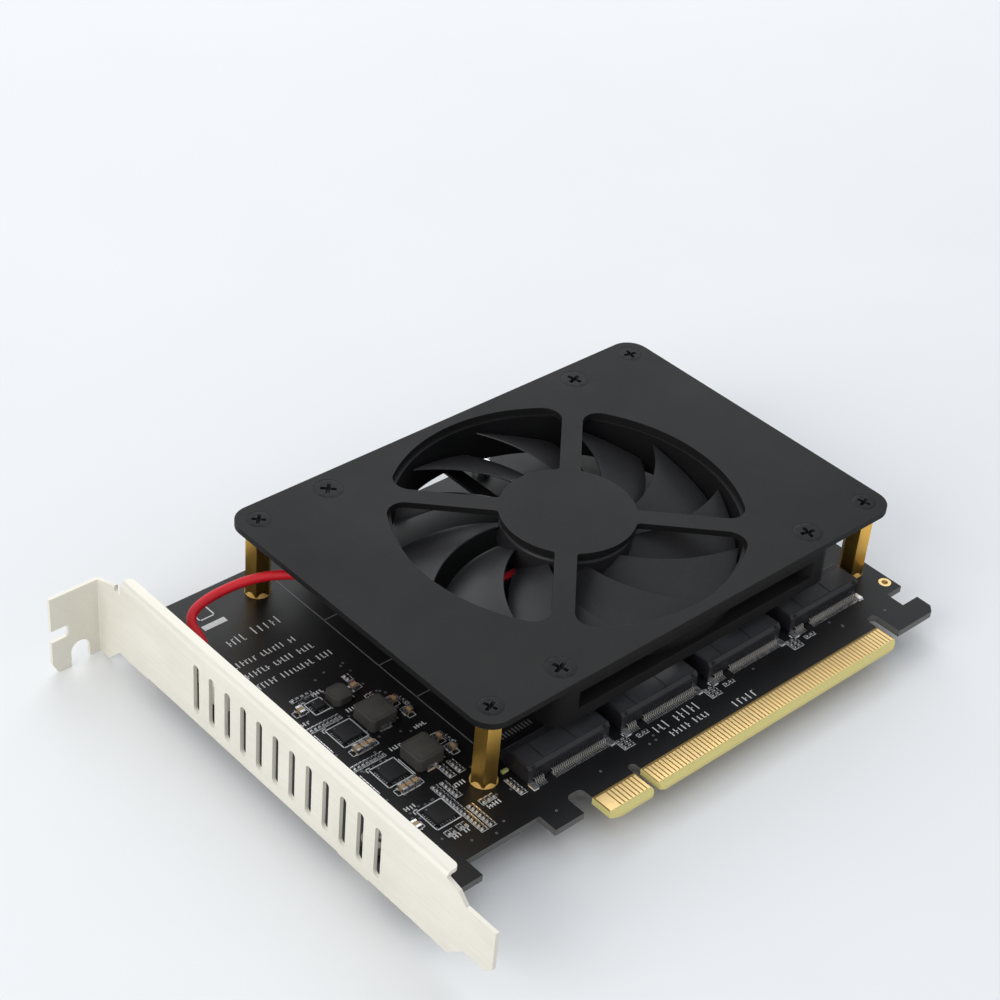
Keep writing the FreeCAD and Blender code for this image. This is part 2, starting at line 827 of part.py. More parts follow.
def make_cover():
    body = new_body("cover_plate")
    half_x, half_y = S.cover_length / 2, S.cover_width / 2
    sketch = new_sketch(body, "outline")
    rectangle(sketch, FACE, FACE, S.cover_length, S.cover_width)
    pad(body, "plate", sketch, S.cover_thickness)
    soften(body, "corners", upright_at(corners_of(half_x, half_y)), S.cover_corner)

    # a quarter of the air inlet, between two diagonal spokes
    inlet = new_sketch(body, "inlet_outline")
    outer, inner, half = S.opening_radius, S.cover_hub_radius, S.spoke_width / 2
    up = FreeCAD.Vector(0, 0, 1)
    origin = FreeCAD.Vector(0, 0, 0)
    turn_out = math.pi / 4 - math.asin(half.value / outer.value)
    turn_in = math.pi / 4 - math.asin(half.value / inner.value)

    def polar(radius, angle):
        return FreeCAD.Vector(radius.value * math.cos(angle), radius.value * math.sin(angle), 0)

    inlet.addGeometry([
        Part.ArcOfCircle(Part.Circle(origin, up, outer.value), -turn_out, turn_out),
        Part.LineSegment(polar(outer, turn_out), polar(inner, turn_in)),
        Part.ArcOfCircle(Part.Circle(origin, up, inner.value), -turn_in, turn_in),
        Part.LineSegment(polar(inner, -turn_in), polar(outer, -turn_out)),
    ], False)
    for a, end_a, b, end_b in ((0, 2, 1, 1), (1, 2, 2, 2), (2, 1, 3, 1), (3, 2, 0, 1),
                               (0, 3, -1, 1), (2, 3, -1, 1)):
        inlet.addConstraint(Sketcher.Constraint("Coincident", a, end_a, b, end_b))
    measure(inlet, "Radius", [0], outer)
    measure(inlet, "Radius", [2], inner)
    measure(inlet, "Distance", [-1, 1, 1], half)
    measure(inlet, "Distance", [-1, 1, 3], half)
    inlet.addConstraint(Sketcher.Constraint("Angle", 1, math.radians(-135)))
    inlet.addConstraint(Sketcher.Constraint("Angle", 3, math.radians(-45)))
    quarter = pocket(body, "inlet", inlet)
    repeat_round(body, "inlets", quarter, as_size(4))
    soften(body, "rim_fillets", upright_at_radius(outer), S.spoke_rim_fillet)
    soften(body, "hub_fillets", upright_at_radius(inner), S.spoke_hub_fillet)

    def countersink(name, places, shank, head, depth):
        """Through holes with a cone for a flat screw head."""
        circles = new_sketch(body, name + "_circles")
        for x, y in places:
            circle(circles, x, y, shank + 0.1)
        pocket(body, name, circles)
        for k, (x, y) in enumerate(places):
            cone = new_sketch(body, "{}_cone{}".format(name, k), "XZ", -y)
            top = S.cover_thickness
            slack = S.shank_clearance
            outline(cone, [(x, top + 1), (x + head + slack, top + 1), (x + head + slack, top),
                           (x + shank + slack, top - depth), (x, top - depth)])
            cut = feature(body, "Groove", "{}_groove{}".format(name, k))
            cut.Profile = cone
            axis = cone.addGeometry(Part.LineSegment(flat(x, 0), flat(x, 5)), True)
            pin(cone, axis, 1, x, FACE)
            pin(cone, axis, 2, x, as_size(5))
            cut.ReferenceAxis = (cone, ["Axis0"])
            cut.Angle = 360
            doc.recompute()

    countersink("pillar_holes", corners_of(PILLAR_X, PILLAR_Y), SHANK, S.flat_head_radius,
                S.flat_head_height)
    countersink("fan_holes", FAN_SCREWS, S.fan_screw_shank_radius, S.fan_screw_head_radius,
                S.flat_head_height)
    place(body, COVER_X, COVER_Y, COVER_LOW)
    return keep(body, "cover_plate")


# ---------------------------------------------------------------- screws, pillars and nuts


def cross_recess(body, name, top, depth, span):
    """The cross that a screwdriver turns, cut down from the top of the head."""
    half, arm = S.recess_width / 2, span / 2
    sketch = new_sketch(body, name + "_cross", "XY", top)
    outline(sketch, [(-arm, -half), (-half, -half), (-half, -arm), (half, -arm), (half, -half),
                     (arm, -half), (arm, half), (half, half), (half, arm), (-half, arm),
                     (-half, half), (-arm, half)])
    pocket(body, name, sketch, depth)


def flat_screw(name, head, shank, length, span):
    """A countersunk screw whose head's top lies at its own origin."""
    body = new_body(name)
    depth = S.flat_head_height
    turned(body, "turned", [(FACE, FACE), (head, FACE), (shank, -depth), (shank, -length),
                            (FACE, -length)])
    cross_recess(body, "recess", FACE, S.recess_depth, span)
    return body


def pan_screw(name, length):
    """A pan-head screw whose head seats on its own origin and points up."""
    body = new_body(name)
    head, depth = S.pan_head_radius, S.pan_head_height
    turned(body, "turned", [(FACE, depth), (head, depth), (head, FACE), (SHANK, FACE),
                            (SHANK, -length), (FACE, -length)])
    cross_recess(body, "recess", depth, S.recess_depth, S.recess_span)
    return body


def make_screws():
    cover_screw = flat_screw("cover_screw", S.flat_head_radius, SHANK, S.cover_screw_length,
                             S.recess_span)
    places = [(x, y, COVER_HIGH, 20 + 31 * k) for k, (x, y) in enumerate(PILLAR_PLACES)]
    keep(copies("cover_screws", cover_screw, places), "cover_screws")

    fan_screw = flat_screw("fan_screw", S.fan_screw_head_radius, S.fan_screw_shank_radius,
                           S.fan_screw_length, S.recess_span * 1.25)
    places = []
    for k, (x, y) in enumerate(FAN_SCREWS):
        places.append((COVER_X + x, COVER_Y + y, COVER_HIGH, 12 * k))
    keep(copies("fan_screws", fan_screw, places), "fan_screws")

    base_screw = pan_screw("pillar_screw", S.pan_screw_length)
    upturned = doc.addObject("Part::Mirroring", "pillar_screw_turned")
    upturned.Source = base_screw
    upturned.Normal = FreeCAD.Vector(0, 0, 1)
    places = [(x, y, UNDERSIDE, 0) for x, y in PILLAR_PLACES]
    keep(copies("pillar_screws", upturned, places), "pillar_screws")

    ear_screw = pan_screw("ear_screw", S.ear_screw_length)
    places = [(x, y, FACE, 35) for x, y in EAR_HOLES]
    keep(copies("bracket_screws", ear_screw, places), "bracket_screws")


def make_pillars():
    body = new_body("pillar")
    half = S.pillar_flats / 2
    across = S.pillar_flats / math.sqrt(3)
    sketch = new_sketch(body, "hexagon")
    outline(sketch, [(across, FACE), (across / 2, half), (-across / 2, half),
                     (-across, FACE), (-across / 2, -half), (across / 2, -half)])
    pad(body, "hexagon_bar", sketch, S.pillar_length)
    bore = new_sketch(body, "thread_circle")
    circle(bore, FACE, FACE, S.thread_radius)
    pocket(body, "thread", bore)

    def end_edge(edge):
        """Chooses the straight edges of the two hexagonal ends."""
        ends = [v.Point for v in edge.Vertexes]
        return len(ends) == 2 and abs(ends[0].z - ends[1].z) < 0.01

    soften(body, "end_chamfers", end_edge, S.pillar_chamfer, "Chamfer")
    places = [(x, y, FACE, 15) for x, y in PILLAR_PLACES]
    keep(copies("brass_pillars", body, places), "brass_pillars")


def make_nuts():
    """A pressed brass nut at the far end of each drive, with a spigot in the board's hole."""
    body = new_body("drive_nut")
    r, bore, spigot = S.nut_radius, S.nut_bore, S.nut_spigot_radius
    turned(body, "turned", [(bore, -S.nut_spigot_length), (spigot, -S.nut_spigot_length),
                            (spigot, FACE), (r, FACE), (r, S.nut_height), (bore, S.nut_height)])
    places = [(x, NUT_Y, FACE, 0) for x in SOCKETS]
    keep(copies("drive_nuts", body, places), "drive_nuts")


# ---------------------------------------------------------------- fan frame


def make_fan_frame():
    """One moulding: two square flanges round a barrel, corner posts, four struts and a base."""
    body = new_body("fan_frame")
    side, depth = S.fan_side, S.fan_depth
    sketch = new_sketch(body, "outline")
    rectangle(sketch, FACE, FACE, side, side)
    pad(body, "square", sketch, depth)
    soften(body, "corners", upright_at(corners_of(side / 2, side / 2)), S.fan_corner)

    bore = new_sketch(body, "bore_circle", "XY", as_size(0))
    circle(bore, FACE, FACE, S.fan_bore_radius)
    pocket(body, "bore", bore)

    # between the flanges only the barrel and the four corner posts remain
    waist = new_sketch(body, "waist_outline", "XY", S.fan_flange_thickness)
    rectangle(waist, FACE, FACE, side + 4, side + 4)
    circle(waist, FACE, FACE, S.fan_barrel_radius)
    for x, y in corners_of(side / 2 - S.fan_post / 2 + 0.3, side / 2 - S.fan_post / 2 + 0.3):
        circle(waist, x, y, S.fan_post / 2 + 0.3)
    pocket(body, "waist", waist, depth - 2 * S.fan_flange_thickness, reverse=True)

    base = new_sketch(body, "base_circle")
    circle(base, FACE, FACE, S.fan_base_radius)
    pad(body, "base", base, S.fan_base_thickness)
    reach = S.fan_bore_radius + 0.4
    inside = S.fan_base_radius - 0.6
    strut = new_sketch(body, "strut_outline")
    wide = S.strut_width / 2
    outline(strut, [(inside, -wide), (reach, -wide), (reach, wide), (inside, wide)])
    arm = pad(body, "strut", strut, S.fan_base_thickness)
    repeat_round(body, "struts", arm, as_size(4))

    # the strut that carries the lead has a low wall on each side
    walls = new_sketch(body, "lead_wall_outline", "XY", S.fan_base_thickness)
    lead = S.lead_radius + 0.1
    for a in (-1, 1):
        outline(walls, [(-reach, a * lead), (-reach, a * (lead + S.strut_wall)),
                        (-inside, a * (lead + S.strut_wall)), (-inside, a * lead)])
    pad(body, "lead_walls", walls, S.strut_wall_height)

    tube = new_sketch(body, "tube_circles", "XY", S.fan_base_thickness)
    circle(tube, FACE, FACE, S.bearing_tube_radius)
    circle(tube, FACE, FACE, S.bearing_tube_bore)
    pad(body, "bearing_tube", tube, S.bearing_tube_top - FAN_LOW - S.fan_base_thickness)

    holes = new_sketch(body, "screw_hole_circles")
    for x, y in FAN_SCREWS:
        circle(holes, x, y, S.fan_screw_shank_radius + S.shank_clearance)
    pocket(body, "screw_holes", holes)

    # the lead leaves through a notch in the barrel and the lower flange
    exit_notch = new_sketch(body, "lead_exit_outline", "XY", S.fan_base_thickness)
    outer = side / 2 + 1
    outline(exit_notch, [(-outer, -lead), (-reach + 1, -lead), (-reach + 1, lead), (-outer, lead)])
    notch_height = S.fan_flange_thickness - S.fan_base_thickness
    pocket(body, "lead_exit", exit_notch, notch_height, reverse=True)
    place(body, COVER_X, COVER_Y, FAN_LOW)
    return keep(body, "fan_frame")


# ---------------------------------------------------------------- fan rotor


def blade_section(body, name, radius, turn, high):
    """A blade's section at one radius: a thin strip, folded once, that leans into the turn."""
    sketch = body.newObject("Sketcher::SketchObject", body.Name + "_" + name)
    planes = [o for o in body.Origin.OriginFeatures if o.Role == "YZ_Plane"]
    sketch.AttachmentSupport = [(planes[0], "")]
    sketch.MapMode = "FlatFace"
    swing = FreeCAD.Rotation(FreeCAD.Vector(0, 1, 0), turn)
    reach = radius * math.cos(math.radians(turn)), radius * math.sin(math.radians(turn))
    sketch.AttachmentOffset = FreeCAD.Placement(FreeCAD.Vector(reach[1], 0, reach[0]), swing)
    half = radius * math.radians(S.blade_span_angle.value) / 2
    low = S.blade_low.value
    lean = math.atan2(high - low, 2 * half)
    thick = S.blade_thickness.value / math.cos(lean)
    sag = 0.12 * (high - low)
    middle = (high + low - thick) / 2 - sag
    corners = [(-half, low + thick), (0, middle + thick), (half, high), (half, high - thick),
               (0, middle), (-half, low)]
    sides = []
    for start, end in zip(corners, corners[1:] + corners[:1]):
        sides.append(Part.LineSegment(flat(*start), flat(*end)))
    sketch.addGeometry(sides, False)
    return sketch


def make_impeller():
    """A cup-shaped hub with swept blades that stand close to the barrel."""
    body = new_body("impeller_blank")
    outer, wall = S.hub_radius, S.hub_wall
    top, bottom = S.hub_top, S.hub_bottom
    roof = top - wall
    boss = S.hub_boss_radius
    bore = S.shaft_radius + S.shank_clearance
    turned(body, "hub", [
        (FACE, top), (outer, top), (outer, bottom), (outer - wall, bottom), (outer - wall, roof),
        (boss, roof), (boss, roof - S.hub_boss_length), (bore, roof - S.hub_boss_length),
        (bore, roof + wall * 0.5), (FACE, roof + wall * 0.5),
    ])
    soften(body, "hub_round", hub_rim, S.hub_edge_fillet)

    root = S.hub_radius.value - 0.45 * S.hub_wall.value
    tip = S.blade_tip_radius.value + 0.4
    sections = []
    for k in range(4):
        share = k / 3
        radius = root + (tip - root) * share
        high = S.blade_high.value - S.blade_root_drop.value * (1 - share) ** 2
        turn = S.blade_sweep.value * share ** 0.9
        sections.append(blade_section(body, "section{}".format(k), radius, turn, high))
    doc.recompute()
    blade = feature(body, "AdditiveLoft", "blade")
    blade.Profile = sections[0]
    blade.Sections = sections[1:]
    body.Tip = blade
    doc.recompute()
    repeat_round(body, "blades", blade, S.blade_count)
    place(body, COVER_X, COVER_Y, FACE)

    # the blades' tips are turned down to one radius
    envelope = doc.addObject("Part::Cylinder", "tip_envelope")
    bind(envelope, "Radius", S.blade_tip_radius)
    bind(envelope, "Height", top - bottom + 2)
    place(envelope, COVER_X, COVER_Y, bottom - 1)
    impeller = doc.addObject("Part::Common", "impeller")
    impeller.Base = body
    impeller.Tool = envelope
    doc.recompute()
    return keep(impeller, "impeller")


def hub_rim(edge):
    """Chooses the hub's upper outer edge."""
    curve = edge.Curve
    if not isinstance(curve, Part.Circle):
        return False
    return abs(curve.Radius - S.hub_radius.value) < 0.001 and curve.Center.z > S.hub_top.value - 0.01


def ring(label, outer, inner, low, high):
    """A plain ring round the fan's axis."""
    body = new_body(label)
    turned(body, "turned", [(inner, low), (outer, low), (outer, high), (inner, high)])
    place(body, COVER_X, COVER_Y, FACE)
    return keep(body, label)


def make_motor():
    roof = S.hub_top - S.hub_wall
    yoke_outer = S.hub_radius - S.hub_wall - S.shank_clearance
    yoke_inner = yoke_outer - S.yoke_wall
    ring("rotor_yoke", yoke_outer, yoke_inner, S.yoke_bottom, roof - S.shank_clearance)
    magnet_outer = yoke_inner - S.shank_clearance
    magnet_inner = magnet_outer - S.magnet_wall
    ring("magnet_ring", magnet_outer, magnet_inner, S.magnet_bottom,
         S.magnet_bottom + S.magnet_height)

    shaft = new_body("rotor_shaft")
    r, bottom = S.shaft_radius, S.shaft_bottom
    seat = roof + S.hub_wall * 0.45
    clip_top = S.bush_bottom - S.clip_gap
    clip_low = clip_top - S.clip_thickness
    slim = r * 0.8
    turned(shaft, "turned", [
        (FACE, bottom), (r, bottom), (r, clip_low), (slim, clip_low),
        (slim, clip_top), (r, clip_top), (r, seat), (FACE, seat),
    ])
    place(shaft, COVER_X, COVER_Y, FACE)
    keep(shaft, "rotor_shaft")

    # the open clip snaps into the shaft's neck below the bush
    clip = new_body("shaft_clip")
    turned(clip, "turned", [(slim + 0.01, clip_low + 0.02), (S.clip_radius, clip_low + 0.02),
                            (S.clip_radius, clip_top - 0.02), (slim + 0.01, clip_top - 0.02)])
    gap = new_sketch(clip, "gap_outline")
    outline(gap, [(FACE, -slim * 0.6), (S.clip_radius + 1, -slim * 0.6),
                  (S.clip_radius + 1, slim * 0.6), (FACE, slim * 0.6)])
    pocket(clip, "gap", gap)
    place(clip, COVER_X, COVER_Y, FACE)
    keep(clip, "shaft_clip")

    ring("bearing_bush", S.bearing_tube_bore - S.shank_clearance, S.shaft_radius + S.running_gap,
         S.bush_bottom, S.bearing_tube_top - 0.1)

    # four-pole stator with one coil round each pole
    stator_radius = magnet_inner - S.air_gap
    stator = new_body("stator_core")
    low, height = S.stator_bottom, S.stator_height
    core = new_sketch(stator, "core_circle", "XY", low)
    circle(core, FACE, FACE, S.bearing_tube_radius + 1.3)
    pad(stator, "core", core, height)
    pole = new_sketch(stator, "pole_outline", "XY", low)
    half, face_half = S.pole_width / 2, S.pole_face_length / 2
    neck_end = stator_radius - S.pole_face_depth
    outline(pole, [
        (S.bearing_tube_radius, -half), (neck_end, -half), (neck_end - 0.8, -face_half),
        (stator_radius + 0.5, -face_half), (stator_radius + 0.5, face_half),
        (neck_end - 0.8, face_half), (neck_end, half), (S.bearing_tube_radius, half),
    ])
    one = pad(stator, "pole", pole, height)
    repeat_round(stator, "poles", one, as_size(4))
    turned(stator, "pole_faces", [
        (stator_radius, low - 1), (stator_radius + 4, low - 1),
        (stator_radius + 4, low + height + 1), (stator_radius, low + height + 1),
    ], cut=True)
    middle = new_sketch(stator, "bore_circle", "XY", low)
    circle(middle, FACE, FACE, S.bearing_tube_radius + S.shank_clearance)
    pocket(stator, "bore", middle)
    place(stator, COVER_X, COVER_Y, FACE)
    keep(stator, "stator_core")

    coil = new_body("coil")
    thick = S.coil_thickness
    slack = S.shank_clearance
    inner_end = S.bearing_tube_radius + 1.4
    outer_end = neck_end - 0.9
    wound = new_sketch(coil, "winding", "YZ", inner_end)
    rectangle(wound, FACE, low + height / 2, S.pole_width + 2 * (thick + slack),
              height + 2 * (thick * 0.6 + slack))
    rectangle(wound, FACE, low + height / 2, S.pole_width + 2 * slack, height + 2 * slack)
    pad(coil, "winding_block", wound, outer_end - inner_end)
    coils = copies("stator_coils", coil, [(COVER_X, COVER_Y, FACE, 90 * k) for k in range(4)])
    keep(coils, "stator_coils")

    low = FAN_LOW + S.fan_base_thickness + S.shank_clearance
    ring("motor_board", S.motor_board_radius, S.bearing_tube_radius + S.shank_clearance,
         low, low + S.motor_board_thickness)


# ---------------------------------------------------------------- drive sockets


def make_sockets():
    floor = S.socket_lift
    back = S.socket_back
    front = back + S.socket_depth
    slot_low = S.socket_slot_floor
    slot_high = slot_low + S.socket_slot_height
    nose = S.socket_nose
    first_tail = -S.tail_pitch * (S.short_row + S.key_row + S.long_row - 1) / 2
    key_x = first_tail + S.tail_pitch * (S.short_row + (S.key_row - 1) / 2)
    half = S.socket_slot_length / 2
    key = S.socket_key / 2
    for k, x in enumerate(SOCKETS, start=1):
        body = new_body("drive_socket_{}".format(k))
        side = new_sketch(body, "side_profile", "YZ")
        outline(side, [
            (back, floor), (front - nose, floor), (front, floor + nose * 0.6),
            (front, slot_high + 0.3), (front - nose, S.socket_height),
            (back + 0.6, S.socket_height), (back, S.socket_height - 0.8),
        ])
        pad(body, "housing", side, S.socket_length, both_ways=True)
        slot = new_sketch(body, "slot_outline", "XZ", -front - 1)
        for left, right in ((-half, key_x - key), (key_x + key, half)):
            outline(slot, [(left, slot_low), (right, slot_low), (right, slot_high),
                           (left, slot_high)])
        pocket(body, "slot", slot, S.socket_slot_depth + 1, reverse=True)
        place(body, x, FACE, FACE)
        keep(body, "drive_socket_{}".format(k))

    # the feet of each socket's contacts, soldered to the board behind it
    tail = block("contact_tail", S.tail_width, S.tail_reach, S.tail_thickness)
    tail_y = back - S.shank_clearance - S.tail_reach / 2
    rows = list(range(int(S.short_row.value)))
    start = int(S.short_row.value + S.key_row.value)
    rows += list(range(start, start + int(S.long_row.value)))
    for k, x in enumerate(SOCKETS, start=1):
        places = [(x + first_tail + S.tail_pitch * n, tail_y, FACE, 0) for n in rows]
        label = "socket_contacts_{}".format(k)
        keep(copies(label, tail, places), label)

    hold = block("hold_down", S.hold_down_width, S.tail_reach + 0.6, S.tail_thickness * 3)
    places = []
    for x in SOCKETS:
        for a in (-1, 1):
            across = x + a * (S.socket_length - S.hold_down_width) / 2
            places.append((across, back - S.shank_clearance - S.tail_reach / 2 - 0.3, FACE, 0))
    keep(copies("socket_hold_downs", hold, places), "socket_hold_downs")


# ---------------------------------------------------------------- parts on the board

# Places on the board are layout, chosen by hand: x and y of each part, and its turn in degrees.
# Every x is counted from the left pillars' axis, so the parts keep clear of the pillars.
INDUCTORS = [(-5.78, 48.6), (-5.68, 34.5)]
CHIPS = [(-12.68, 48.8), (-12.88, 35.0)]
CLOCK_CHIP = (-12.88, 20.9)
SMALL_INDUCTOR = (-7.68, 57.7)
SMALL_CHIP = (-12.38, 58.4)
CAPACITORS = [
    (-14.28, 43.6, 90), (-12.68, 43.6, 90), (-11.08, 43.6, 90),
    (-14.28, 30.0, 90), (-12.68, 30.0, 90), (-11.08, 30.0, 90),
    (-16.28, 58.9, 90), (-3.28, 58.4, 90), (-18.58, 20.9, 90),
    (0.32, 50.6, 0), (0.72, 46.3, 0), (0.52, 36.9, 0), (0.72, 33.0, 0),
]
# rows of resistors: first x and y, steps in x and y, how many, and the turn
RESISTOR_ROWS = [
    (-19.08, 53.6, 1.0, 0.0, 9, 90),
    (-19.08, 40.1, 1.0, 0.0, 9, 90),
    (-18.88, 46.5, 0.0, 1.0, 6, 0),
    (-18.88, 32.4, 0.0, 1.0, 6, 0),
    (-8.78, 12.8, 0.0, 1.0, 15, 0),
    (-6.68, 12.8, 0.0, 1.0, 7, 0),
    (-6.68, 22.6, 0.0, 1.0, 5, 0),
    (-4.08, 27.4, 0.0, 1.0, 4, 0),
    (-1.68, 27.4, 0.0, 1.0, 4, 0),
    (-4.28, 18.4, 1.25, 0.0, 3, 90),
    (-14.98, 16.0, 1.1, 0.0, 2, 90),
    (-12.08, 16.0, 1.1, 0.0, 2, 90),
    (-15.08, 62.4, 1.2, 0.0, 4, 0),
    (3.72, 15.6, 0.0, 1.0, 5, 0),
    (-2.68, 54.6, 1.1, 0.0, 2, 90),
    (-2.28, 61.0, 0.0, 1.0, 2, 0),
    (2.32, 49.0, 0.0, 1.0, 2, 90),
    (2.32, 35.0, 0.0, 1.0, 2, 90),
]
# the same few resistors stand in each gap between two sockets, with x counted from its middle
GAP_ROWS = [
    (-0.6, 12.4, 0.0, 1.0, 3, 0),
    (0.7, 12.4, 0.0, 1.0, 3, 0),
    (4.2, 13.3, 1.25, 0.0, 2, 0),
]


def two_ended(label, middle_label, length, width, height, places):
    """Small parts with a body between two soldered metal ends."""
    cap = length * S.end_share
    middle = block(label + "_body", length - 2 * cap, width, height)
    end = block(label + "_end", cap, width, height + 0.04)
    ends = []
    for x, y, turn in places:
        out = (length - cap) / 2
        along_x = round(math.cos(math.radians(turn)))
        along_y = round(math.sin(math.radians(turn)))
        for a in (-1, 1):
            ends.append((x + a * along_x * out, y + a * along_y * out, FACE, turn))
    keep(copies(middle_label, middle, [(x, y, FACE, turn) for x, y, turn in places]),
         middle_label)
    keep(copies(label + "_ends", end, ends), label + "_ends")


def make_board_parts():
    slack = S.inductor_gap
    core = block("inductor_core", S.inductor_side, S.inductor_side, S.inductor_height)
    half = S.inductor_side / 2
    soften(core, "corners", upright_at(corners_of(half, half)), S.inductor_side * 0.09, "Chamfer")
    places = [(PILLAR_LEFT + x, y, slack, 0) for x, y in INDUCTORS]
    keep(copies("power_inductors", core, places), "power_inductors")

    terminal = new_body("terminal")
    strip = new_sketch(terminal, "strip_profile", "YZ")
    thick = S.terminal_thickness
    rim = half + 0.02
    outline(strip, [(-rim + 1.2, FACE), (-rim + 1.2, slack - 0.02), (-rim, slack - 0.02),
                    (-rim, S.terminal_height), (-rim - thick, S.terminal_height),
                    (-rim - thick, FACE)])
    pad(terminal, "strip", strip, S.terminal_width, both_ways=True)
    places = []
    for x, y in INDUCTORS:
        places += [(PILLAR_LEFT + x, y, FACE, 0), (PILLAR_LEFT + x, y, FACE, 180)]
    keep(copies("inductor_terminals", terminal, places), "inductor_terminals")

    small = block("small_core", S.small_inductor_side, S.small_inductor_side,
                  S.small_inductor_height)
    half = S.small_inductor_side / 2
    soften(small, "corners", upright_at(corners_of(half, half)), S.small_inductor_side * 0.2,
           "Chamfer")
    x, y = SMALL_INDUCTOR
    keep(copies("standby_inductor", small, [(PILLAR_LEFT + x, y, FACE, 0)]), "standby_inductor")

    side = S.chip_side
    chip = block("chip", side, side, S.chip_height)
    places = [(PILLAR_LEFT + x, y, FACE, 0) for x, y in CHIPS]
    keep(copies("regulator_chips", chip, places), "regulator_chips")
    x, y = CLOCK_CHIP
    keep(copies("clock_chip", chip, [(PILLAR_LEFT + x, y, FACE, 0)]), "clock_chip")
    small_chip = block("small_chip", S.small_chip_side, S.small_chip_side, S.chip_height)
    x, y = SMALL_CHIP
    keep(copies("standby_chip", small_chip, [(PILLAR_LEFT + x, y, FACE, 0)]), "standby_chip")

    two_ended("capacitor", "ceramic_capacitors", S.capacitor_length, S.capacitor_width,
              S.capacitor_height, [(PILLAR_LEFT + x, y, turn) for x, y, turn in CAPACITORS])
    rows = [(PILLAR_LEFT, RESISTOR_ROWS)]
    for x in SOCKETS[:-1]:
        rows.append((x + S.socket_pitch / 2, GAP_ROWS))
    resistors = []
    for start, layout in rows:
        for x, y, step_x, step_y, count, turn in layout:
            for n in range(count):
                resistors.append((start + x + n * step_x, y + n * step_y, FACE, turn))
    resistor = block("resistor", S.resistor_length, S.resistor_width, S.resistor_height)
    keep(copies("chip_resistors", resistor, resistors), "chip_resistors")

    lamp = block("lamp", S.lamp_length, S.lamp_length / 2, S.lamp_length * 0.4)
    beside = SOCKETS[0] - S.socket_length / 2 - S.lamp_gap - S.lamp_length / 2
    keep(copies("power_lamp", lamp, [(beside, 21.8, FACE, 0)]), "power_lamp")

    hoop = new_body("plated_ring")
    rim, bore, high = S.ring_radius, S.ring_bore, S.contact_thickness
    turned(hoop, "turned", [(bore, FACE), (rim, FACE), (rim, high), (bore, high)])
    place(hoop, S.ring_place_along, S.ring_place_up, FACE)
    keep(hoop, "plated_ring")


# ---------------------------------------------------------------- fan lead, plug and header


def make_header():
    """A side-entry header with a thin wall round its pins, open towards +Y."""
    body = new_body("fan_header")
    width, length, height = S.header_width, S.header_length, S.header_height
    wall = S.header_wall
    sketch = new_sketch(body, "outline")
    outline(sketch, [(-width / 2, FACE), (width / 2, FACE), (width / 2, length),
                     (-width / 2, length)])
    pad(body, "housing", sketch, height)
    mouth = new_sketch(body, "mouth_outline", "XZ", -length - 1)
    outline(mouth, [(-width / 2 + wall, wall), (width / 2 - wall, wall),
                    (width / 2 - wall, height - wall), (-width / 2 + wall, height - wall)])
    pocket(body, "mouth", mouth, length - 2 * wall + 1, reverse=True)
    place(body, S.header_along, S.header_start, FACE)
    keep(body, "fan_header")

    pin_body = new_body("pin")
    bar = new_sketch(pin_body, "pin_outline", "XZ", -2 * wall - 0.01)
    rectangle(bar, FACE, height / 2, S.pin_side, S.pin_side)
    pad(pin_body, "bar", bar, length - 4 * wall, reverse=True)
    places = []
    for a in (-1, 1):
        places.append((S.header_along + a * S.pin_pitch / 2, S.header_start, FACE, 0))
    keep(copies("header_pins", pin_body, places), "header_pins")

    plug = new_body("lead_plug")
    start = 3 * wall
    middle = height / 2
    shape = new_sketch(plug, "plug_outline", "XZ", -start)
    rectangle(shape, FACE, middle, S.plug_width, S.plug_height)
    for a in (-1, 1):
        rectangle(shape, a * S.pin_pitch / 2, middle, S.pin_side + 0.1, S.pin_side + 0.1)
    # the pins' sockets end before the lead's own hole
    pad(plug, "plug", shape, length - 3.5 * wall, reverse=True)
    tail = new_sketch(plug, "tail_outline", "XZ", -start - length + 3.5 * wall)
    rectangle(tail, FACE, middle, S.plug_width, S.plug_height)
    pad(plug, "tail", tail, S.plug_length - length + 5.2 * wall, reverse=True)
    place(plug, S.header_along, S.header_start, FACE)
    keep(plug, "lead_plug")


def make_lead():
    """The lead's sleeve: straight runs joined by arcs that touch them."""
    points = [FreeCAD.Vector(*p) for p in LEAD_ROUTE]
    edges = []
    start = points[0]
    length = 0.0
    radii = []
    for before, corner, after in zip(points, points[1:], points[2:]):
        inward = (corner - before).normalize()
        outward = (after - corner).normalize()
        turn = inward.getAngle(outward)
        run = min((corner - before).Length, (after - corner).Length)
        radius = 0.45 * run / math.tan(turn / 2)
        radii.append(radius)
        cut = 0.45 * run
        arc_start = corner - inward * cut
        arc_end = corner + outward * cut
        bisector = (outward - inward).normalize()
        middle = corner + bisector * (radius / math.cos(turn / 2) - radius)
        edges.append(Part.LineSegment(start, arc_start).toShape())
        edges.append(Part.Arc(arc_start, middle, arc_end).toShape())
        length += (arc_start - start).Length + radius * turn
        start = arc_end
    edges.append(Part.LineSegment(start, points[-1]).toShape())
    length += (points[-1] - start).Length
    path = Part.Wire(edges)
    radius = S.lead_radius.value
    first_run = points[1] - points[0]
    profile = Part.Wire([Part.Circle(points[0], first_run, radius).toShape()])
    sleeve = path.makePipeShell([profile], True, False)
    made = doc.addObject("Part::Feature", "fan_lead")
    made.Shape = sleeve
    section = math.pi * radius ** 2
    print("lead: length {:.1f} mm, arc radii {}, volume against section times length {:.4f}".format(
        length, [round(r, 1) for r in radii], sleeve.Volume / (section * length)))
    return keep(made, "fan_lead")


# ---------------------------------------------------------------- build, test and write

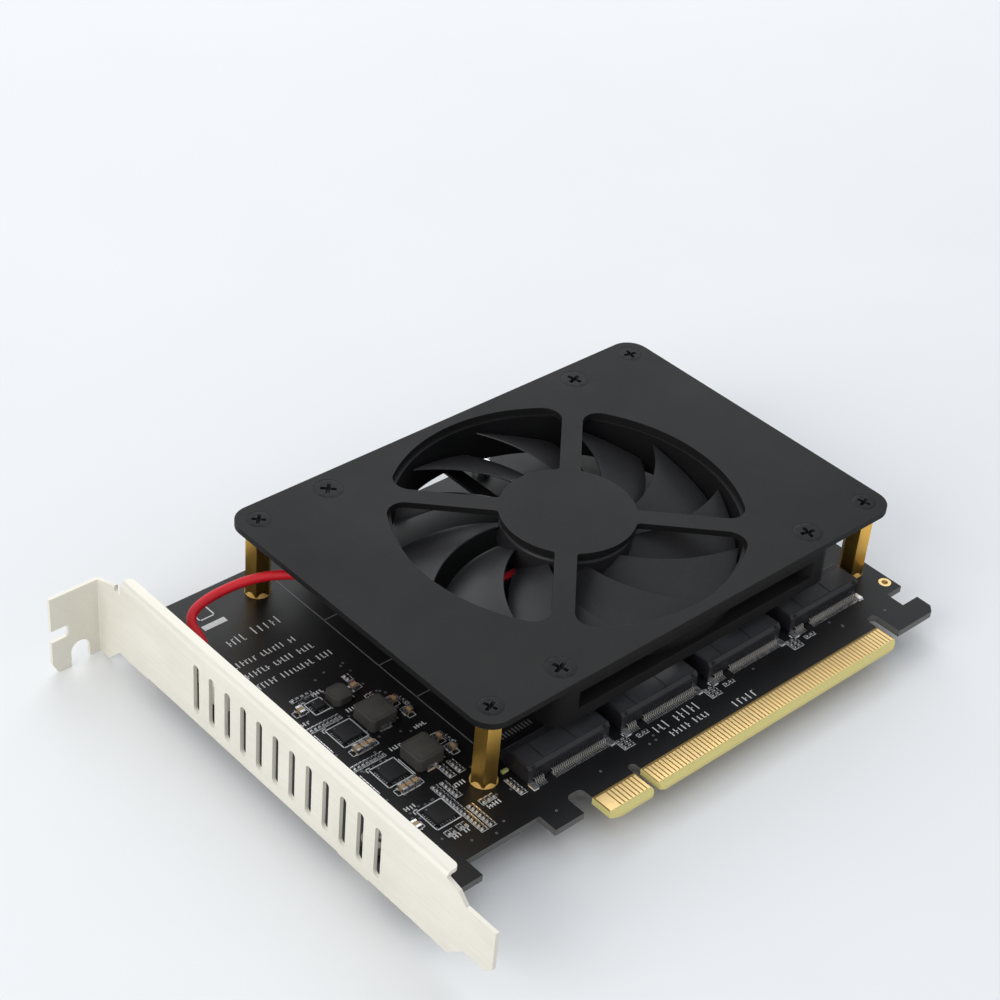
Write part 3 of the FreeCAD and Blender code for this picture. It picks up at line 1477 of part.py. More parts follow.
make_board()
make_contacts("edge_contacts_component_side", FACE)
make_contacts("edge_contacts_solder_side", UNDERSIDE - S.contact_thickness)
make_bracket()
make_cover()
make_screws()
make_pillars()
make_nuts()
make_fan_frame()
make_impeller()
make_motor()
make_sockets()
make_board_parts()
make_header()
make_lead()
doc.recompute()

for thing in doc.Objects:
    if "Invalid" in thing.State or "Error" in thing.State:
        raise ValueError("{} failed: {}".format(thing.Name, thing.State))

os.makedirs("parts", exist_ok=True)
for thing in parts:
    if thing.Shape.isNull() or not thing.Shape.isValid():
        raise ValueError(thing.Label + " has no valid shape")
    if not thing.Shape.Solids:
        raise ValueError(thing.Label + " holds no solid")
for thing in parts:
    thing.Shape.exportStep("parts/{}.step".format(thing.Label))
print("{} sub-parts, {} solids".format(len(parts), sum(len(p.Shape.Solids) for p in parts)))
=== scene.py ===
# %% [markdown]
# # An adapter card for solid-state drives
# This card goes into a long expansion slot. Four drives lie flat on it, and a black cover plate on
# brass pillars holds a thin fan above them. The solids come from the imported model, and this script
# dresses them: it rounds edges, adds small parts and print, and gives every surface its finish.
# The card's own frame is in metres. Sizes are written in millimetres and multiplied by MM.

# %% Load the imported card
import math
import random

import bmesh
import bpy
from mathutils import Matrix, Quaternion, Vector


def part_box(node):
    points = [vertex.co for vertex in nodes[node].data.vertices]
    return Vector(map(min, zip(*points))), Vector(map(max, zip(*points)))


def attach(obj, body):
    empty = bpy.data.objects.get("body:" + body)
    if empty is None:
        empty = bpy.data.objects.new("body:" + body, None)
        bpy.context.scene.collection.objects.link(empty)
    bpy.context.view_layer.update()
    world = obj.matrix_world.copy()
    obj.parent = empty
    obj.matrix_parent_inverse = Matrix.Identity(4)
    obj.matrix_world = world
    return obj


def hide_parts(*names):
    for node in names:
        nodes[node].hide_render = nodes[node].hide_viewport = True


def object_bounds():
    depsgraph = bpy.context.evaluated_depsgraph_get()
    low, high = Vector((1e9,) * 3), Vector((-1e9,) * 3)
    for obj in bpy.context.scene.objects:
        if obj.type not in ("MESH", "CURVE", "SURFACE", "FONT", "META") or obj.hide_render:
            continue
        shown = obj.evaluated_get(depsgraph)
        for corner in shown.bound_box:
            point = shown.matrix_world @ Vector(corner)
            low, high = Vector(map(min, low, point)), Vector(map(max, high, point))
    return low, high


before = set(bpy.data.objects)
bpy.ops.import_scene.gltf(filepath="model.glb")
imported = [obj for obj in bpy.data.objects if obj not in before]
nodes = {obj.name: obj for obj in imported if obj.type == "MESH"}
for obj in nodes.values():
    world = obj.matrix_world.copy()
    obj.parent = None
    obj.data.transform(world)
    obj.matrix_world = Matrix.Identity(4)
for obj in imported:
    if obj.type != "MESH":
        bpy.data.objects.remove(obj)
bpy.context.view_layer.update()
MM = 0.001
SOCKETS = range(1, 5)

# %% [markdown]
# ## The camera
# The card is seen from over its bracket corner with a fairly long lens. The direction is given by
# three turns: round to the card, down to it, and a slight roll. The focal length is for a sensor
# 36 mm wide.

# %% Place the camera
CAMERA_PLACE = Vector((-242.7, -192.15, 291.14)) * MM
CAMERA_TURN = math.radians(45.0)
CAMERA_DIP = math.radians(36.31)
CAMERA_ROLL = math.radians(5.19)
FOCAL_LENGTH = 78.65
scene = bpy.context.scene


def add_object(name, data):
    """Puts new data into the scene as an object."""
    made = bpy.data.objects.new(name, data)
    scene.collection.objects.link(made)
    return made


lens = bpy.data.cameras.new("camera")
lens.sensor_width = 36.0
lens.lens = FOCAL_LENGTH
lens.clip_start = 0.01
camera = add_object("camera", lens)
level = math.cos(CAMERA_DIP)
look = Vector((level * math.cos(CAMERA_TURN), level * math.sin(CAMERA_TURN), -math.sin(CAMERA_DIP)))
facing = look.to_track_quat("-Z", "Y") @ Quaternion((0, 0, 1), CAMERA_ROLL)
camera.location = CAMERA_PLACE
camera.rotation_euler = facing.to_euler()
scene.camera = camera
scene.view_settings.view_transform = "Standard"
print("camera looks along", [round(v, 3) for v in look])

# %% [markdown]
# ## The fan's lead
# A red lead runs from the motor along a strut, out under the cover and down to its plug. A cord
# reads best as one smooth curve, so it is a NURBS spline whose control points are the lead's own
# route, and the curve's bevel gives it its round section. Outside the fan a thicker sleeve covers
# it. The sleeve follows points read from the finished spline, so it can't leave the lead's line.
# A curve's box counts the radius of its points, which is a metre unless it is set. So each point
# carries the real radius, and the bevel depth that multiplies it is 1.

# %% Run the lead
LEAD_ROUTE = [
    (15.9, 58.64, 8.98),
    (-5.0, 58.64, 9.05),
    (-19.0, 58.64, 9.2),
    (-20.9, 76.6, 13.3),
    (-30.4, 85.7, 12.6),
    (-40.5, 90.2, 9.0),
    (-47.6, 89.0, 7.2),
    (-46.8, 83.0, 3.6),
    (-50.4, 80.8, 2.35),
    (-50.5, 77.4, 2.3),
]
LEAD_DIAMETER = 1.6 * MM
SLEEVE_DIAMETER = 2.1 * MM
SLEEVE_GAP = 1.2 * MM


def add_curve(name, kind, places, diameter, fineness):
    """A round curve along some places, in metres. Its bevel depth is left to be set."""
    curve = bpy.data.curves.new(name, "CURVE")
    curve.dimensions = "3D"
    curve.bevel_resolution = fineness
    curve.use_fill_caps = True
    spline = curve.splines.new(kind)
    spline.points.add(len(places) - 1)
    for point, place in zip(spline.points, places):
        point.co = (*place, 1.0)
        point.radius = diameter / 2
    return add_object(name, curve)


route = [Vector(place) * MM for place in LEAD_ROUTE]
lead = add_curve("lead_wire", "NURBS", route, LEAD_DIAMETER, 6)
spline = lead.data.splines[0]
spline.order_u = 3
spline.use_endpoint_u = True
spline.resolution_u = 16
line = [vert.co.copy() for vert in bpy.data.meshes.new_from_object(lead).vertices]
lead.data.bevel_depth = 1.0
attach(lead, "card")
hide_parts("fan_lead")

frame_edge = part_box("fan_frame")[0].x
covered = [spot for spot in line if spot.x < frame_edge - SLEEVE_GAP]
sleeve = add_curve("lead_sleeve", "POLY", covered, SLEEVE_DIAMETER, 8)
sleeve.data.bevel_depth = 1.0
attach(sleeve, "card")
print("lead has", len(line), "points along it, and its sleeve covers", len(covered))

# %% [markdown]
# ## Reading the solids
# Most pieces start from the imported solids. `welded` gives one of them as a clean mesh with flat
# faces joined, and `spans` finds the separate like pieces inside it. `softened` rounds its sharp
# edges, because no real edge is perfectly sharp and a rounded one catches a line of light.

# %% Make the helpers that read solids
def welded(node):
    """The node's mesh with its corners joined and its flat faces whole."""
    bm = bmesh.new()
    bm.from_mesh(nodes[node].data)
    bmesh.ops.remove_doubles(bm, verts=bm.verts, dist=0.001 * MM)
    bmesh.ops.dissolve_limit(bm, angle_limit=math.radians(0.5), verts=bm.verts, edges=bm.edges)
    bm.verts.index_update()
    return bm


def round_edges(bm, edges, width, segments=2):
    """Rounds the given edges by a width in millimetres."""
    bmesh.ops.bevel(bm, geom=edges, offset=width * MM, segments=segments, profile=0.5,
                    affect="EDGES", clamp_overlap=True)


def softened(node, width):
    """The node's mesh with every edge rounded that turns by more than 30 degrees."""
    bm = welded(node)
    round_edges(bm, [edge for edge in bm.edges if len(edge.link_faces) == 2
                     and edge.calc_face_angle() > math.radians(30.0)], width)
    return bm


def spans(node):
    """The lowest and highest corner of each separate piece of a node, in millimetres and in
    order along X then Y."""
    bm = welded(node)
    seen, found = set(), []
    for start in bm.verts:
        if start.index in seen:
            continue
        seen.add(start.index)
        stack, group = [start], []
        while stack:
            vert = stack.pop()
            group.append(vert.co.copy())
            for edge in vert.link_edges:
                other = edge.other_vert(vert)
                if other.index not in seen:
                    seen.add(other.index)
                    stack.append(other)
        low = Vector([min(co[k] for co in group) for k in range(3)])
        high = Vector([max(co[k] for co in group) for k in range(3)])
        found.append((low, high))
    bm.free()
    found.sort(key=lambda pair: (round(pair[0].x, 5), round(pair[0].y, 5)))
    return [(low / MM, high / MM) for low, high in found]


def box(node):
    """The lowest and highest corner of a whole node, in millimetres."""
    return [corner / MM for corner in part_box(node)]


def middle(low, high):
    """The place on the board's face halfway between two corners."""
    return Vector(((low.x + high.x) / 2, (low.y + high.y) / 2, 0.0))


print("sockets' contact feet in one row:", len(spans("socket_contacts_1")))

# %% [markdown]
# ## Adding shapes
# These helpers add boxes, turned shapes and lines of print to a mesh, with every size in
# millimetres. `add_piece` then turns the mesh into a piece that rides on a body.

# %% Make the helpers that add shapes
FINISH = {}


def add_piece(name, bm, finish, body="card", replaced=(), smooth=40.0):
    """Turns a mesh into a piece that rides on a body. The finish is a name or a list of names."""
    mesh = bpy.data.meshes.new(name)
    bmesh.ops.recalc_face_normals(bm, faces=bm.faces)
    bm.to_mesh(mesh)
    bm.free()
    for face in mesh.polygons:
        face.use_smooth = True
    mesh.set_sharp_from_angle(angle=math.radians(smooth))
    for label in finish if isinstance(finish, list) else [finish]:
        mesh.materials.append(FINISH[label])
    piece = add_object(name, mesh)
    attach(piece, body)
    if replaced:
        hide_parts(*replaced)
    # large faces keep their own direction, so only the rounded edges shade as round
    piece.modifiers.new("large faces stay flat", "WEIGHTED_NORMAL").keep_sharp = True
    print(name, len(mesh.polygons), "faces")


def add_box(bm, low, high, round_by=0.0, segments=2):
    """A box between two corners with its edges rounded."""
    low, high = Vector(low) * MM, Vector(high) * MM
    verts = bmesh.ops.create_cube(bm, size=1.0)["verts"]
    bmesh.ops.scale(bm, vec=high - low, verts=verts)
    bmesh.ops.translate(bm, vec=(low + high) / 2, verts=verts)
    if round_by:
        edges = dict.fromkeys(edge for vert in verts for edge in vert.link_edges)
        round_edges(bm, list(edges), round_by, segments)


def join_rings(bm, lower, upper):
    """Walls between two closed rings of corners. A ring of one corner is a point."""
    count = max(len(lower), len(upper))
    walls = []
    for k in range(count):
        n = (k + 1) % count
        corners = dict.fromkeys((lower[k % len(lower)], lower[n % len(lower)],
                                 upper[n % len(upper)], upper[k % len(upper)]))
        walls.append(bm.faces.new(tuple(corners)))
    return walls


def circle(radius, steps):
    """The (radius, angle) pairs of a circle, or one pair if it is a point."""
    return [(radius, 2 * math.pi * k / steps) for k in range(steps if radius else 1)]


def add_ring(bm, centre, places, height):
    """New corners round an upright axis, one for each (radius, angle) pair."""
    return [bm.verts.new((centre + Vector((r * math.cos(angle), r * math.sin(angle), height))) * MM)
            for r, angle in places]


def add_turned(bm, profile, centre, steps, closed=False):
    """Turns a profile of (radius, height) pairs round an upright axis."""
    rings = [add_ring(bm, Vector(centre), circle(r, steps), height) for r, height in profile]
    for lower, upper in zip(rings, rings[1:]):
        join_rings(bm, lower, upper)
    if closed:
        join_rings(bm, rings[-1], rings[0])


def add_line(bm, start, end, width=0.2, high=0.02):
    """A raised line of print or metal on the board's face, from corner to corner."""
    half = width / 2
    add_box(bm, (min(start[0], end[0]) - half, min(start[1], end[1]) - half, -0.01),
            (max(start[0], end[0]) + half, max(start[1], end[1]) + half, high))


def add_outline(bm, low, high, width):
    """Four lines round a rectangle on the board."""
    corners = [low, (high[0], low[1]), high, (low[0], high[1])]
    for start, end in zip(corners, corners[1:] + corners[:1]):
        add_line(bm, start, end, width)

# %% [markdown]
# ## Effects that many finishes share
# Each effect is a node group with named sockets: a fine grain, edges rubbed lighter, dust that
# settles on what faces up, and the streaks that rolling leaves on sheet metal. A material places
# the groups it needs and gives them its own values, so one change mends all the finishes.

# %% Make the helpers that add nodes
def feed(tree, node, inputs):
    """Gives a node's inputs plain values or other nodes' sockets."""
    for label, value in inputs.items():
        if isinstance(value, bpy.types.NodeSocket):
            tree.links.new(value, node.inputs[label])
        else:
            node.inputs[label].default_value = value


def add_node(tree, kind, inputs=None, **settings):
    """Adds a shader node, sets its properties and feeds its inputs."""
    node = tree.nodes.new("ShaderNode" + kind)
    for prop, value in settings.items():
        setattr(node, prop, value)
    feed(tree, node, inputs or {})
    return node


def maths(tree, operation, a, b=0.0):
    """One sum on sockets or plain numbers."""
    return add_node(tree, "Math", {0: a, 1: b}, operation=operation).outputs[0]


def mix_colour(tree, share, first, second):
    """Mixes two colours by a share, each a socket or a plain value."""
    return add_node(tree, "Mix", {0: share, 6: first, 7: second}, data_type="RGBA").outputs[2]


def own_place(tree):
    """Where a point lies on its own object."""
    return add_node(tree, "TexCoord").outputs["Object"]


def noise(tree, scale, detail, roughness=0.5, where=None):
    """A grey noise over the places of a surface, its own unless others are given."""
    inputs = {"Vector": where or own_place(tree), "Scale": scale, "Detail": detail,
              "Roughness": roughness}
    return add_node(tree, "TexNoise", inputs).outputs["Fac"]


def spread(tree, value, low, high, to_low=0.0, to_high=1.0):
    """Spreads the values between low and high over another range."""
    inputs = {"Value": value, "From Min": low, "From Max": high, "To Min": to_low,
              "To Max": to_high}
    return add_node(tree, "MapRange", inputs).outputs[0]


def new_group(name, inputs, outputs):
    """A node group with named sockets, the sockets it starts from, and the node that ends it."""
    group = bpy.data.node_groups.new(name, "ShaderNodeTree")
    for label, value in inputs.items():
        kind = "NodeSocketVector" if isinstance(value, tuple) else "NodeSocketFloat"
        group.interface.new_socket(label, in_out="INPUT", socket_type=kind).default_value = value
    for label in outputs:
        group.interface.new_socket(label, in_out="OUTPUT", socket_type="NodeSocketFloat")
    start = group.nodes.new("NodeGroupInput")
    return group, start.outputs, group.nodes.new("NodeGroupOutput")

# %% [markdown]
# Each group is built once here. Its inputs hold the values a material may change.

# %% Build the shared node groups
def make_grain_group():
    """Two sizes of noise: a fine one for the feel of a surface and a broad one for its tone."""
    group, start, end = new_group("fine grain", {"Scale": 3000.0, "Patch Scale": 60.0},
                                  ["Tone", "Height"])
    feed(group, end, {"Tone": noise(group, start["Patch Scale"], 4.0, 0.65),
                      "Height": noise(group, start["Scale"], 3.0, 0.6)})
    return group


def make_edge_group():
    """A mask of the edges, where handling rubs a finish: the rounded normal leaves the flat one."""
    group, start, end = new_group("rubbed edges", {"Reach": 0.0003, "Strength": 4.0}, ["Mask"])
    rounded = add_node(group, "Bevel", {"Radius": start["Reach"]}, samples=6)
    flat = add_node(group, "NewGeometry")
    normals = {0: rounded.outputs["Normal"], 1: flat.outputs["True Normal"]}
    meet = add_node(group, "VectorMath", normals, operation="DOT_PRODUCT")
    bend = maths(group, "SUBTRACT", 1.0, meet.outputs["Value"])
    worn = maths(group, "MULTIPLY", bend, start["Strength"])
    worn = maths(group, "MULTIPLY", worn, noise(group, 400.0, 3.0))
    feed(group, end, {"Mask": add_node(group, "Clamp", {"Value": worn}).outputs[0]})
    return group


def make_dust_group():
    """A mask of what faces up, broken into soft patches."""
    group, start, end = new_group("settled dust", {"Amount": 0.1}, ["Mask"])
    shape = add_node(group, "NewGeometry")
    parts = add_node(group, "SeparateXYZ", {0: shape.outputs["Normal"]})
    up = spread(group, parts.outputs["Z"], 0.3, 1.0)
    mask = maths(group, "MULTIPLY", up, noise(group, 900.0, 5.0, 0.7))
    feed(group, end, {"Mask": maths(group, "MULTIPLY", mask, start["Amount"])})
    return group


def make_streak_group():
    """Long thin streaks, by stretching a noise along one direction."""
    group, start, end = new_group("rolled streaks", {"Stretch": (300.0, 300.0, 300.0)},
                                  ["Tone", "Height"])
    drawn = add_node(group, "VectorMath", {0: own_place(group), 1: start["Stretch"]},
                     operation="MULTIPLY")
    fine = noise(group, 1.0, 4.0, 0.6, drawn.outputs["Vector"])
    tone = maths(group, "MULTIPLY", fine, noise(group, 45.0, 5.0, 0.6))
    feed(group, end, {"Tone": maths(group, "MULTIPLY", tone, 2.0), "Height": fine})
    return group


GRAIN = make_grain_group()
EDGES = make_edge_group()
DUST = make_dust_group()
STREAKS = make_streak_group()
print("node groups:", [group.name for group in bpy.data.node_groups])

# %% [markdown]
# ## Finishes
# One function builds an ordinary finish from those groups: a colour that drifts a little between
# two tones, a roughness that drifts with it, a bump as deep as the real grain, edges and dust.
# Constant values such as metal or coat are set on the shader itself.

# %% Make the finish builder
DRIFT = (0.3, 0.7)
DUST_GREY = (0.42, 0.40, 0.37)


def rgb(*values):
    """An opaque colour."""
    return (*values, 1.0)


def add_group(tree, group, inputs):
    """Places a shared group in a tree and gives back its outputs."""
    return add_node(tree, "Group", inputs, node_tree=group).outputs


def make_finish(name, colour, tone, rough, grain=(3000.0, 0.004), patch=60.0, metal=0.0, coat=0.0,
                specular=0.5, edge=None, dust=0.0, streaks=None):
    """An ordinary finish. Colour and tone are the two ends of its drift, rough is a pair, grain is
    its scale and its depth in millimetres, and edge is the colour and strength of rubbed edges."""
    material = bpy.data.materials.new(name)
    material.use_nodes = True
    tree = material.node_tree
    shader = tree.nodes["Principled BSDF"]
    if streaks:
        feel = add_group(tree, STREAKS, {"Stretch": streaks})
    else:
        feel = add_group(tree, GRAIN, {"Scale": grain[0], "Patch Scale": patch})
    drift = spread(tree, feel["Tone"], *DRIFT)
    shown = mix_colour(tree, drift, rgb(*colour), rgb(*tone))
    if edge:
        worn = add_group(tree, EDGES, {"Strength": edge[1]})["Mask"]
        shown = mix_colour(tree, worn, shown, rgb(*edge[0]))
    if dust:
        settled = add_group(tree, DUST, {"Amount": dust})["Mask"]
        shown = mix_colour(tree, settled, shown, rgb(*DUST_GREY))
    bump = {"Height": feel["Height"], "Strength": 0.6, "Distance": grain[1] * MM}
    bump = add_node(tree, "Bump", bump)
    feed(tree, shader, {"Base Color": shown, "Normal": bump.outputs[0], "Metallic": metal,
                        "Roughness": spread(tree, feel["Tone"], *DRIFT, *rough),
                        "Coat Weight": coat, "Specular IOR Level": specular})
    FINISH[name] = material
    return material

# %% [markdown]
# The plates, screws and pillars are painted, plated or turned metal.

# %% Make the finishes of plates and fasteners
make_finish("cover paint", (0.0075, 0.0075, 0.008), (0.011, 0.011, 0.0115), (0.48, 0.6),
            grain=(5200.0, 0.01), patch=35.0, specular=0.14, edge=((0.09, 0.09, 0.095), 1.8),
            dust=0.015)
make_finish("black screw", (0.0055, 0.0055, 0.006), (0.008, 0.008, 0.0085), (0.44, 0.54),
            grain=(2600.0, 0.002), specular=0.13, edge=((0.13, 0.13, 0.135), 2.6))
make_finish("bright screw", (0.62, 0.62, 0.63), (0.72, 0.72, 0.72), (0.22, 0.36),
            grain=(2600.0, 0.003), metal=1.0)
make_finish("dull screw", (0.16, 0.15, 0.14), (0.22, 0.21, 0.19), (0.42, 0.56),
            grain=(2600.0, 0.004), metal=0.7)
make_finish("bracket plate", (0.72, 0.69, 0.6), (0.78, 0.75, 0.67), (0.44, 0.56),
            grain=(3000.0, 0.003), metal=0.3, streaks=(3200.0, 110.0, 3200.0))
make_finish("pillar brass", (0.86, 0.5, 0.105), (0.9, 0.55, 0.135), (0.26, 0.32),
            grain=(2400.0, 0.0006), patch=90.0, metal=1.0)
# a brighter, more orange brass with little metal: a painted highlight where chamfers and collars
# catch light
make_finish("cut brass", (0.98, 0.56, 0.13), (1.0, 0.66, 0.22), (0.42, 0.55), grain=(2400.0, 0.002),
            patch=300.0, metal=0.35)
make_finish("nut tin", (0.6, 0.6, 0.58), (0.7, 0.7, 0.68), (0.25, 0.38), metal=1.0)
print(len(FINISH), "finishes")

# %% [markdown]
# Moulded plastics are dark and a little rough, and the contacts and joints on them are bright.

# %% Make the finishes of mouldings and contacts
make_finish("fan moulding", (0.006, 0.006, 0.0065), (0.009, 0.009, 0.01), (0.48, 0.62),
            grain=(4200.0, 0.012), specular=0.16, dust=0.015, edge=((0.05, 0.05, 0.052), 1.2))
make_finish("rotor moulding", (0.015, 0.015, 0.0165), (0.02, 0.02, 0.022), (0.34, 0.44),
            grain=(4200.0, 0.004), patch=30.0, specular=0.26, dust=0.03)
make_finish("socket moulding", (0.014, 0.014, 0.017), (0.022, 0.022, 0.026), (0.4, 0.52),
            grain=(5200.0, 0.006), patch=160.0, specular=0.35, edge=((0.1, 0.1, 0.11), 1.6),
            dust=0.03)
make_finish("socket lid", (0.03, 0.031, 0.036), (0.042, 0.043, 0.05), (0.36, 0.46),
            grain=(5200.0, 0.006), patch=160.0, specular=0.35, dust=0.03)
make_finish("gold plate", (0.76, 0.53, 0.22), (0.84, 0.62, 0.29), (0.26, 0.38),
            grain=(2600.0, 0.002), patch=120.0, metal=0.75)
make_finish("tin solder", (0.62, 0.62, 0.64), (0.8, 0.8, 0.8), (0.18, 0.36), grain=(1800.0, 0.01),
            patch=700.0, metal=0.9)
make_finish("spring tin", (0.5, 0.48, 0.45), (0.62, 0.6, 0.56), (0.34, 0.46), grain=(2600.0, 0.003),
            patch=300.0, metal=0.7)
print(len(FINISH), "finishes")

# %% [markdown]
# Small parts, the motor's hidden parts and print make up the rest.

# %% Make the finishes of small parts and print
make_finish("inductor top", (0.062, 0.06, 0.054), (0.085, 0.082, 0.074), (0.5, 0.62),
            grain=(4200.0, 0.01), patch=260.0, specular=0.25)
make_finish("pressed ferrite", (0.048, 0.046, 0.043), (0.07, 0.067, 0.062), (0.5, 0.65),
            grain=(4200.0, 0.016), patch=260.0, specular=0.35, edge=((0.17, 0.165, 0.155), 1.6))
make_finish("moulded chip", (0.01, 0.01, 0.011), (0.018, 0.018, 0.019), (0.4, 0.52),
            grain=(5200.0, 0.006), patch=260.0, specular=0.35)
make_finish("fired ceramic", (0.36, 0.23, 0.11), (0.5, 0.34, 0.19), (0.4, 0.55),
            grain=(4200.0, 0.005), patch=800.0)
make_finish("glazed resistor", (0.014, 0.014, 0.016), (0.026, 0.026, 0.03), (0.22, 0.34),
            patch=900.0, coat=0.4)
make_finish("lamp resin", (0.58, 0.62, 0.2), (0.7, 0.72, 0.34), (0.15, 0.25), patch=700.0, coat=0.5)
make_finish("nylon white", (0.72, 0.7, 0.62), (0.78, 0.76, 0.68), (0.4, 0.52),
            grain=(4200.0, 0.006), patch=160.0)
make_finish("red sleeve", (0.56, 0.006, 0.014), (0.66, 0.01, 0.022), (0.34, 0.46),
            grain=(2600.0, 0.006), patch=200.0, specular=0.4)
make_finish("drawn steel", (0.5, 0.5, 0.51), (0.6, 0.6, 0.61), (0.28, 0.42), metal=1.0,
            streaks=(2600.0, 2600.0, 200.0))
make_finish("bonded magnet", (0.06, 0.055, 0.055), (0.09, 0.085, 0.085), (0.55, 0.7),
            grain=(3600.0, 0.012))
make_finish("bush bronze", (0.45, 0.28, 0.12), (0.55, 0.36, 0.18), (0.4, 0.55),
            grain=(3600.0, 0.012), metal=1.0)
make_finish("coil copper", (0.5, 0.17, 0.06), (0.62, 0.24, 0.1), (0.25, 0.35), metal=0.9, coat=0.5,
            streaks=(300.0, 300.0, 3200.0))
make_finish("motor laminate", (0.05, 0.1, 0.05), (0.07, 0.14, 0.07), (0.35, 0.5), coat=0.3)
make_finish("white print", (0.6, 0.61, 0.61), (0.8, 0.8, 0.8), (0.55, 0.7), grain=(5200.0, 0.004),
            patch=1400.0)
make_finish("grey print", (0.13, 0.13, 0.14), (0.22, 0.22, 0.23), (0.55, 0.7),
            grain=(5200.0, 0.004), patch=900.0)
print(len(FINISH), "finishes")

# %% [markdown]
# ## The board's lacquer
# The board has a finish of its own, because one piece of laminate shows three: black lacquer on its
# faces, glass fibre along its cut edge, and bare yellow-green laminate on the tongue. The glass
# fibre's colour is darkened with painted shade, as if its walls stood in shadow. Masks from the
# surface's direction and place choose between them, and shallow ridges follow the copper
# tracks that run under the lacquer.

# %% Make the board's finish
TONGUE_LOW, TONGUE_HIGH = (corner.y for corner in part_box("edge_contacts_component_side"))
TONGUE_LEFT, TONGUE_RIGHT = -12.2 * MM, 72.2 * MM
TRACK_SCALE = 420.0


def make_track_group():
    """Low ridges of buried copper: broken parallel lines, some along the card and some across."""
    group, start, end = new_group("buried tracks", {"Pitch": 900.0}, ["Height"])
    heights = []
    for direction, patch in (("X", 70.0), ("Y", 95.0)):
        lines = {"Vector": own_place(group), "Scale": start["Pitch"], "Distortion": 0.0}
        lines = add_node(group, "TexWave", lines, bands_direction=direction)
        ridge = spread(group, lines.outputs["Fac"], 0.55, 0.75)
        near = spread(group, noise(group, patch, 1.0), 0.52, 0.56)
        heights.append(maths(group, "MULTIPLY", ridge, near))
    feed(group, end, {"Height": maths(group, "MAXIMUM", *heights)})
    return group


def make_board_finish():
    material = make_finish("board lacquer", (0.0065, 0.0065, 0.007), (0.0105, 0.0105, 0.0115),
                           (0.38, 0.50), grain=(6000.0, 0.003), patch=50.0, specular=0.22)
    tree = material.node_tree
    shader = tree.nodes["Principled BSDF"]
    lacquer, normal = (shader.inputs[label].links[0].from_socket
                       for label in ("Base Color", "Normal"))
    shape = add_node(tree, "NewGeometry").outputs["True Normal"]
    facing = add_node(tree, "SeparateXYZ", {0: shape}).outputs
    place = add_node(tree, "SeparateXYZ", {0: own_place(tree)}).outputs
    steep = maths(tree, "LESS_THAN", maths(tree, "ABSOLUTE", facing["Z"]), 0.5)
    low = maths(tree, "LESS_THAN", place["Y"], TONGUE_HIGH + 0.5 * MM)
    left = maths(tree, "GREATER_THAN", place["X"], TONGUE_LEFT)
    right = maths(tree, "LESS_THAN", place["X"], TONGUE_RIGHT)
    tongue = maths(tree, "MULTIPLY", low, maths(tree, "MULTIPLY", left, right))
    fibre = noise(tree, 2600.0, 4.0)
    # the cut edge's glass fibre, darkened to a deep grey: painted shade in its colour
    fibre_with_painted_shade = mix_colour(tree, fibre, rgb(0.085, 0.083, 0.078), rgb(0.15, 0.147, 0.14))
    bare = mix_colour(tree, fibre, rgb(0.58, 0.50, 0.17), rgb(0.72, 0.64, 0.28))
    # between the contacts the tongue is darker than on its bevelled edge
    between = maths(tree, "GREATER_THAN", place["Y"], TONGUE_LOW + 0.15 * MM)
    between = maths(tree, "MULTIPLY", between, maths(tree, "SUBTRACT", 1.0, steep))
    bare = mix_colour(tree, between, bare, rgb(0.25, 0.16, 0.045))
    shown = mix_colour(tree, tongue, mix_colour(tree, steep, lacquer, fibre_with_painted_shade), bare)
    tracks = add_group(tree, make_track_group(), {"Pitch": TRACK_SCALE})["Height"]
    relief = {"Height": tracks, "Normal": normal, "Strength": 0.3, "Distance": 0.012 * MM}
    relief = add_node(tree, "Bump", relief)
    feed(tree, shader, {"Base Color": shown, "Normal": relief.outputs[0]})
    print("board lacquer has", len(tree.nodes), "nodes")


make_board_finish()

# %% [markdown]
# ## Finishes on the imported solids
# Solids whose shape is already right keep it and only change their material.

# %% Dress the plain solids
PLAIN = {
    "gold plate": ["edge_contacts_component_side", "edge_contacts_solder_side"],
    "drawn steel": ["rotor_yoke", "rotor_shaft", "shaft_clip", "stator_core"],
    "bonded magnet": ["magnet_ring"],
    "bush bronze": ["bearing_bush"],
    "coil copper": ["stator_coils"],
    "motor laminate": ["motor_board"],
    "nylon white": ["lead_plug"],
    "nut tin": ["drive_nuts"],
    "tin solder": ["header_pins", "socket_hold_downs", "inductor_terminals", "capacitor_ends"],
    "spring tin": [f"socket_contacts_{number}" for number in SOCKETS],
}
for finish, names in PLAIN.items():
    for name in names:
        nodes[name].data.materials.clear()
        nodes[name].data.materials.append(FINISH[finish])
for piece in (lead, sleeve):
    piece.data.materials.append(FINISH["red sleeve"])
print(sum(len(names) for names in PLAIN.values()), "solids keep their shape")

# %% [markdown]
# ## Softened pieces
# The bracket, the cover, the fan's frame and the moulded blocks are right in form but too crisp.
# Each is replaced by its own welded mesh with rounded edges, as pressing and moulding leave them.
# The board is milled, so its faces stay crisp and only the tongue's upright corners are rounded.

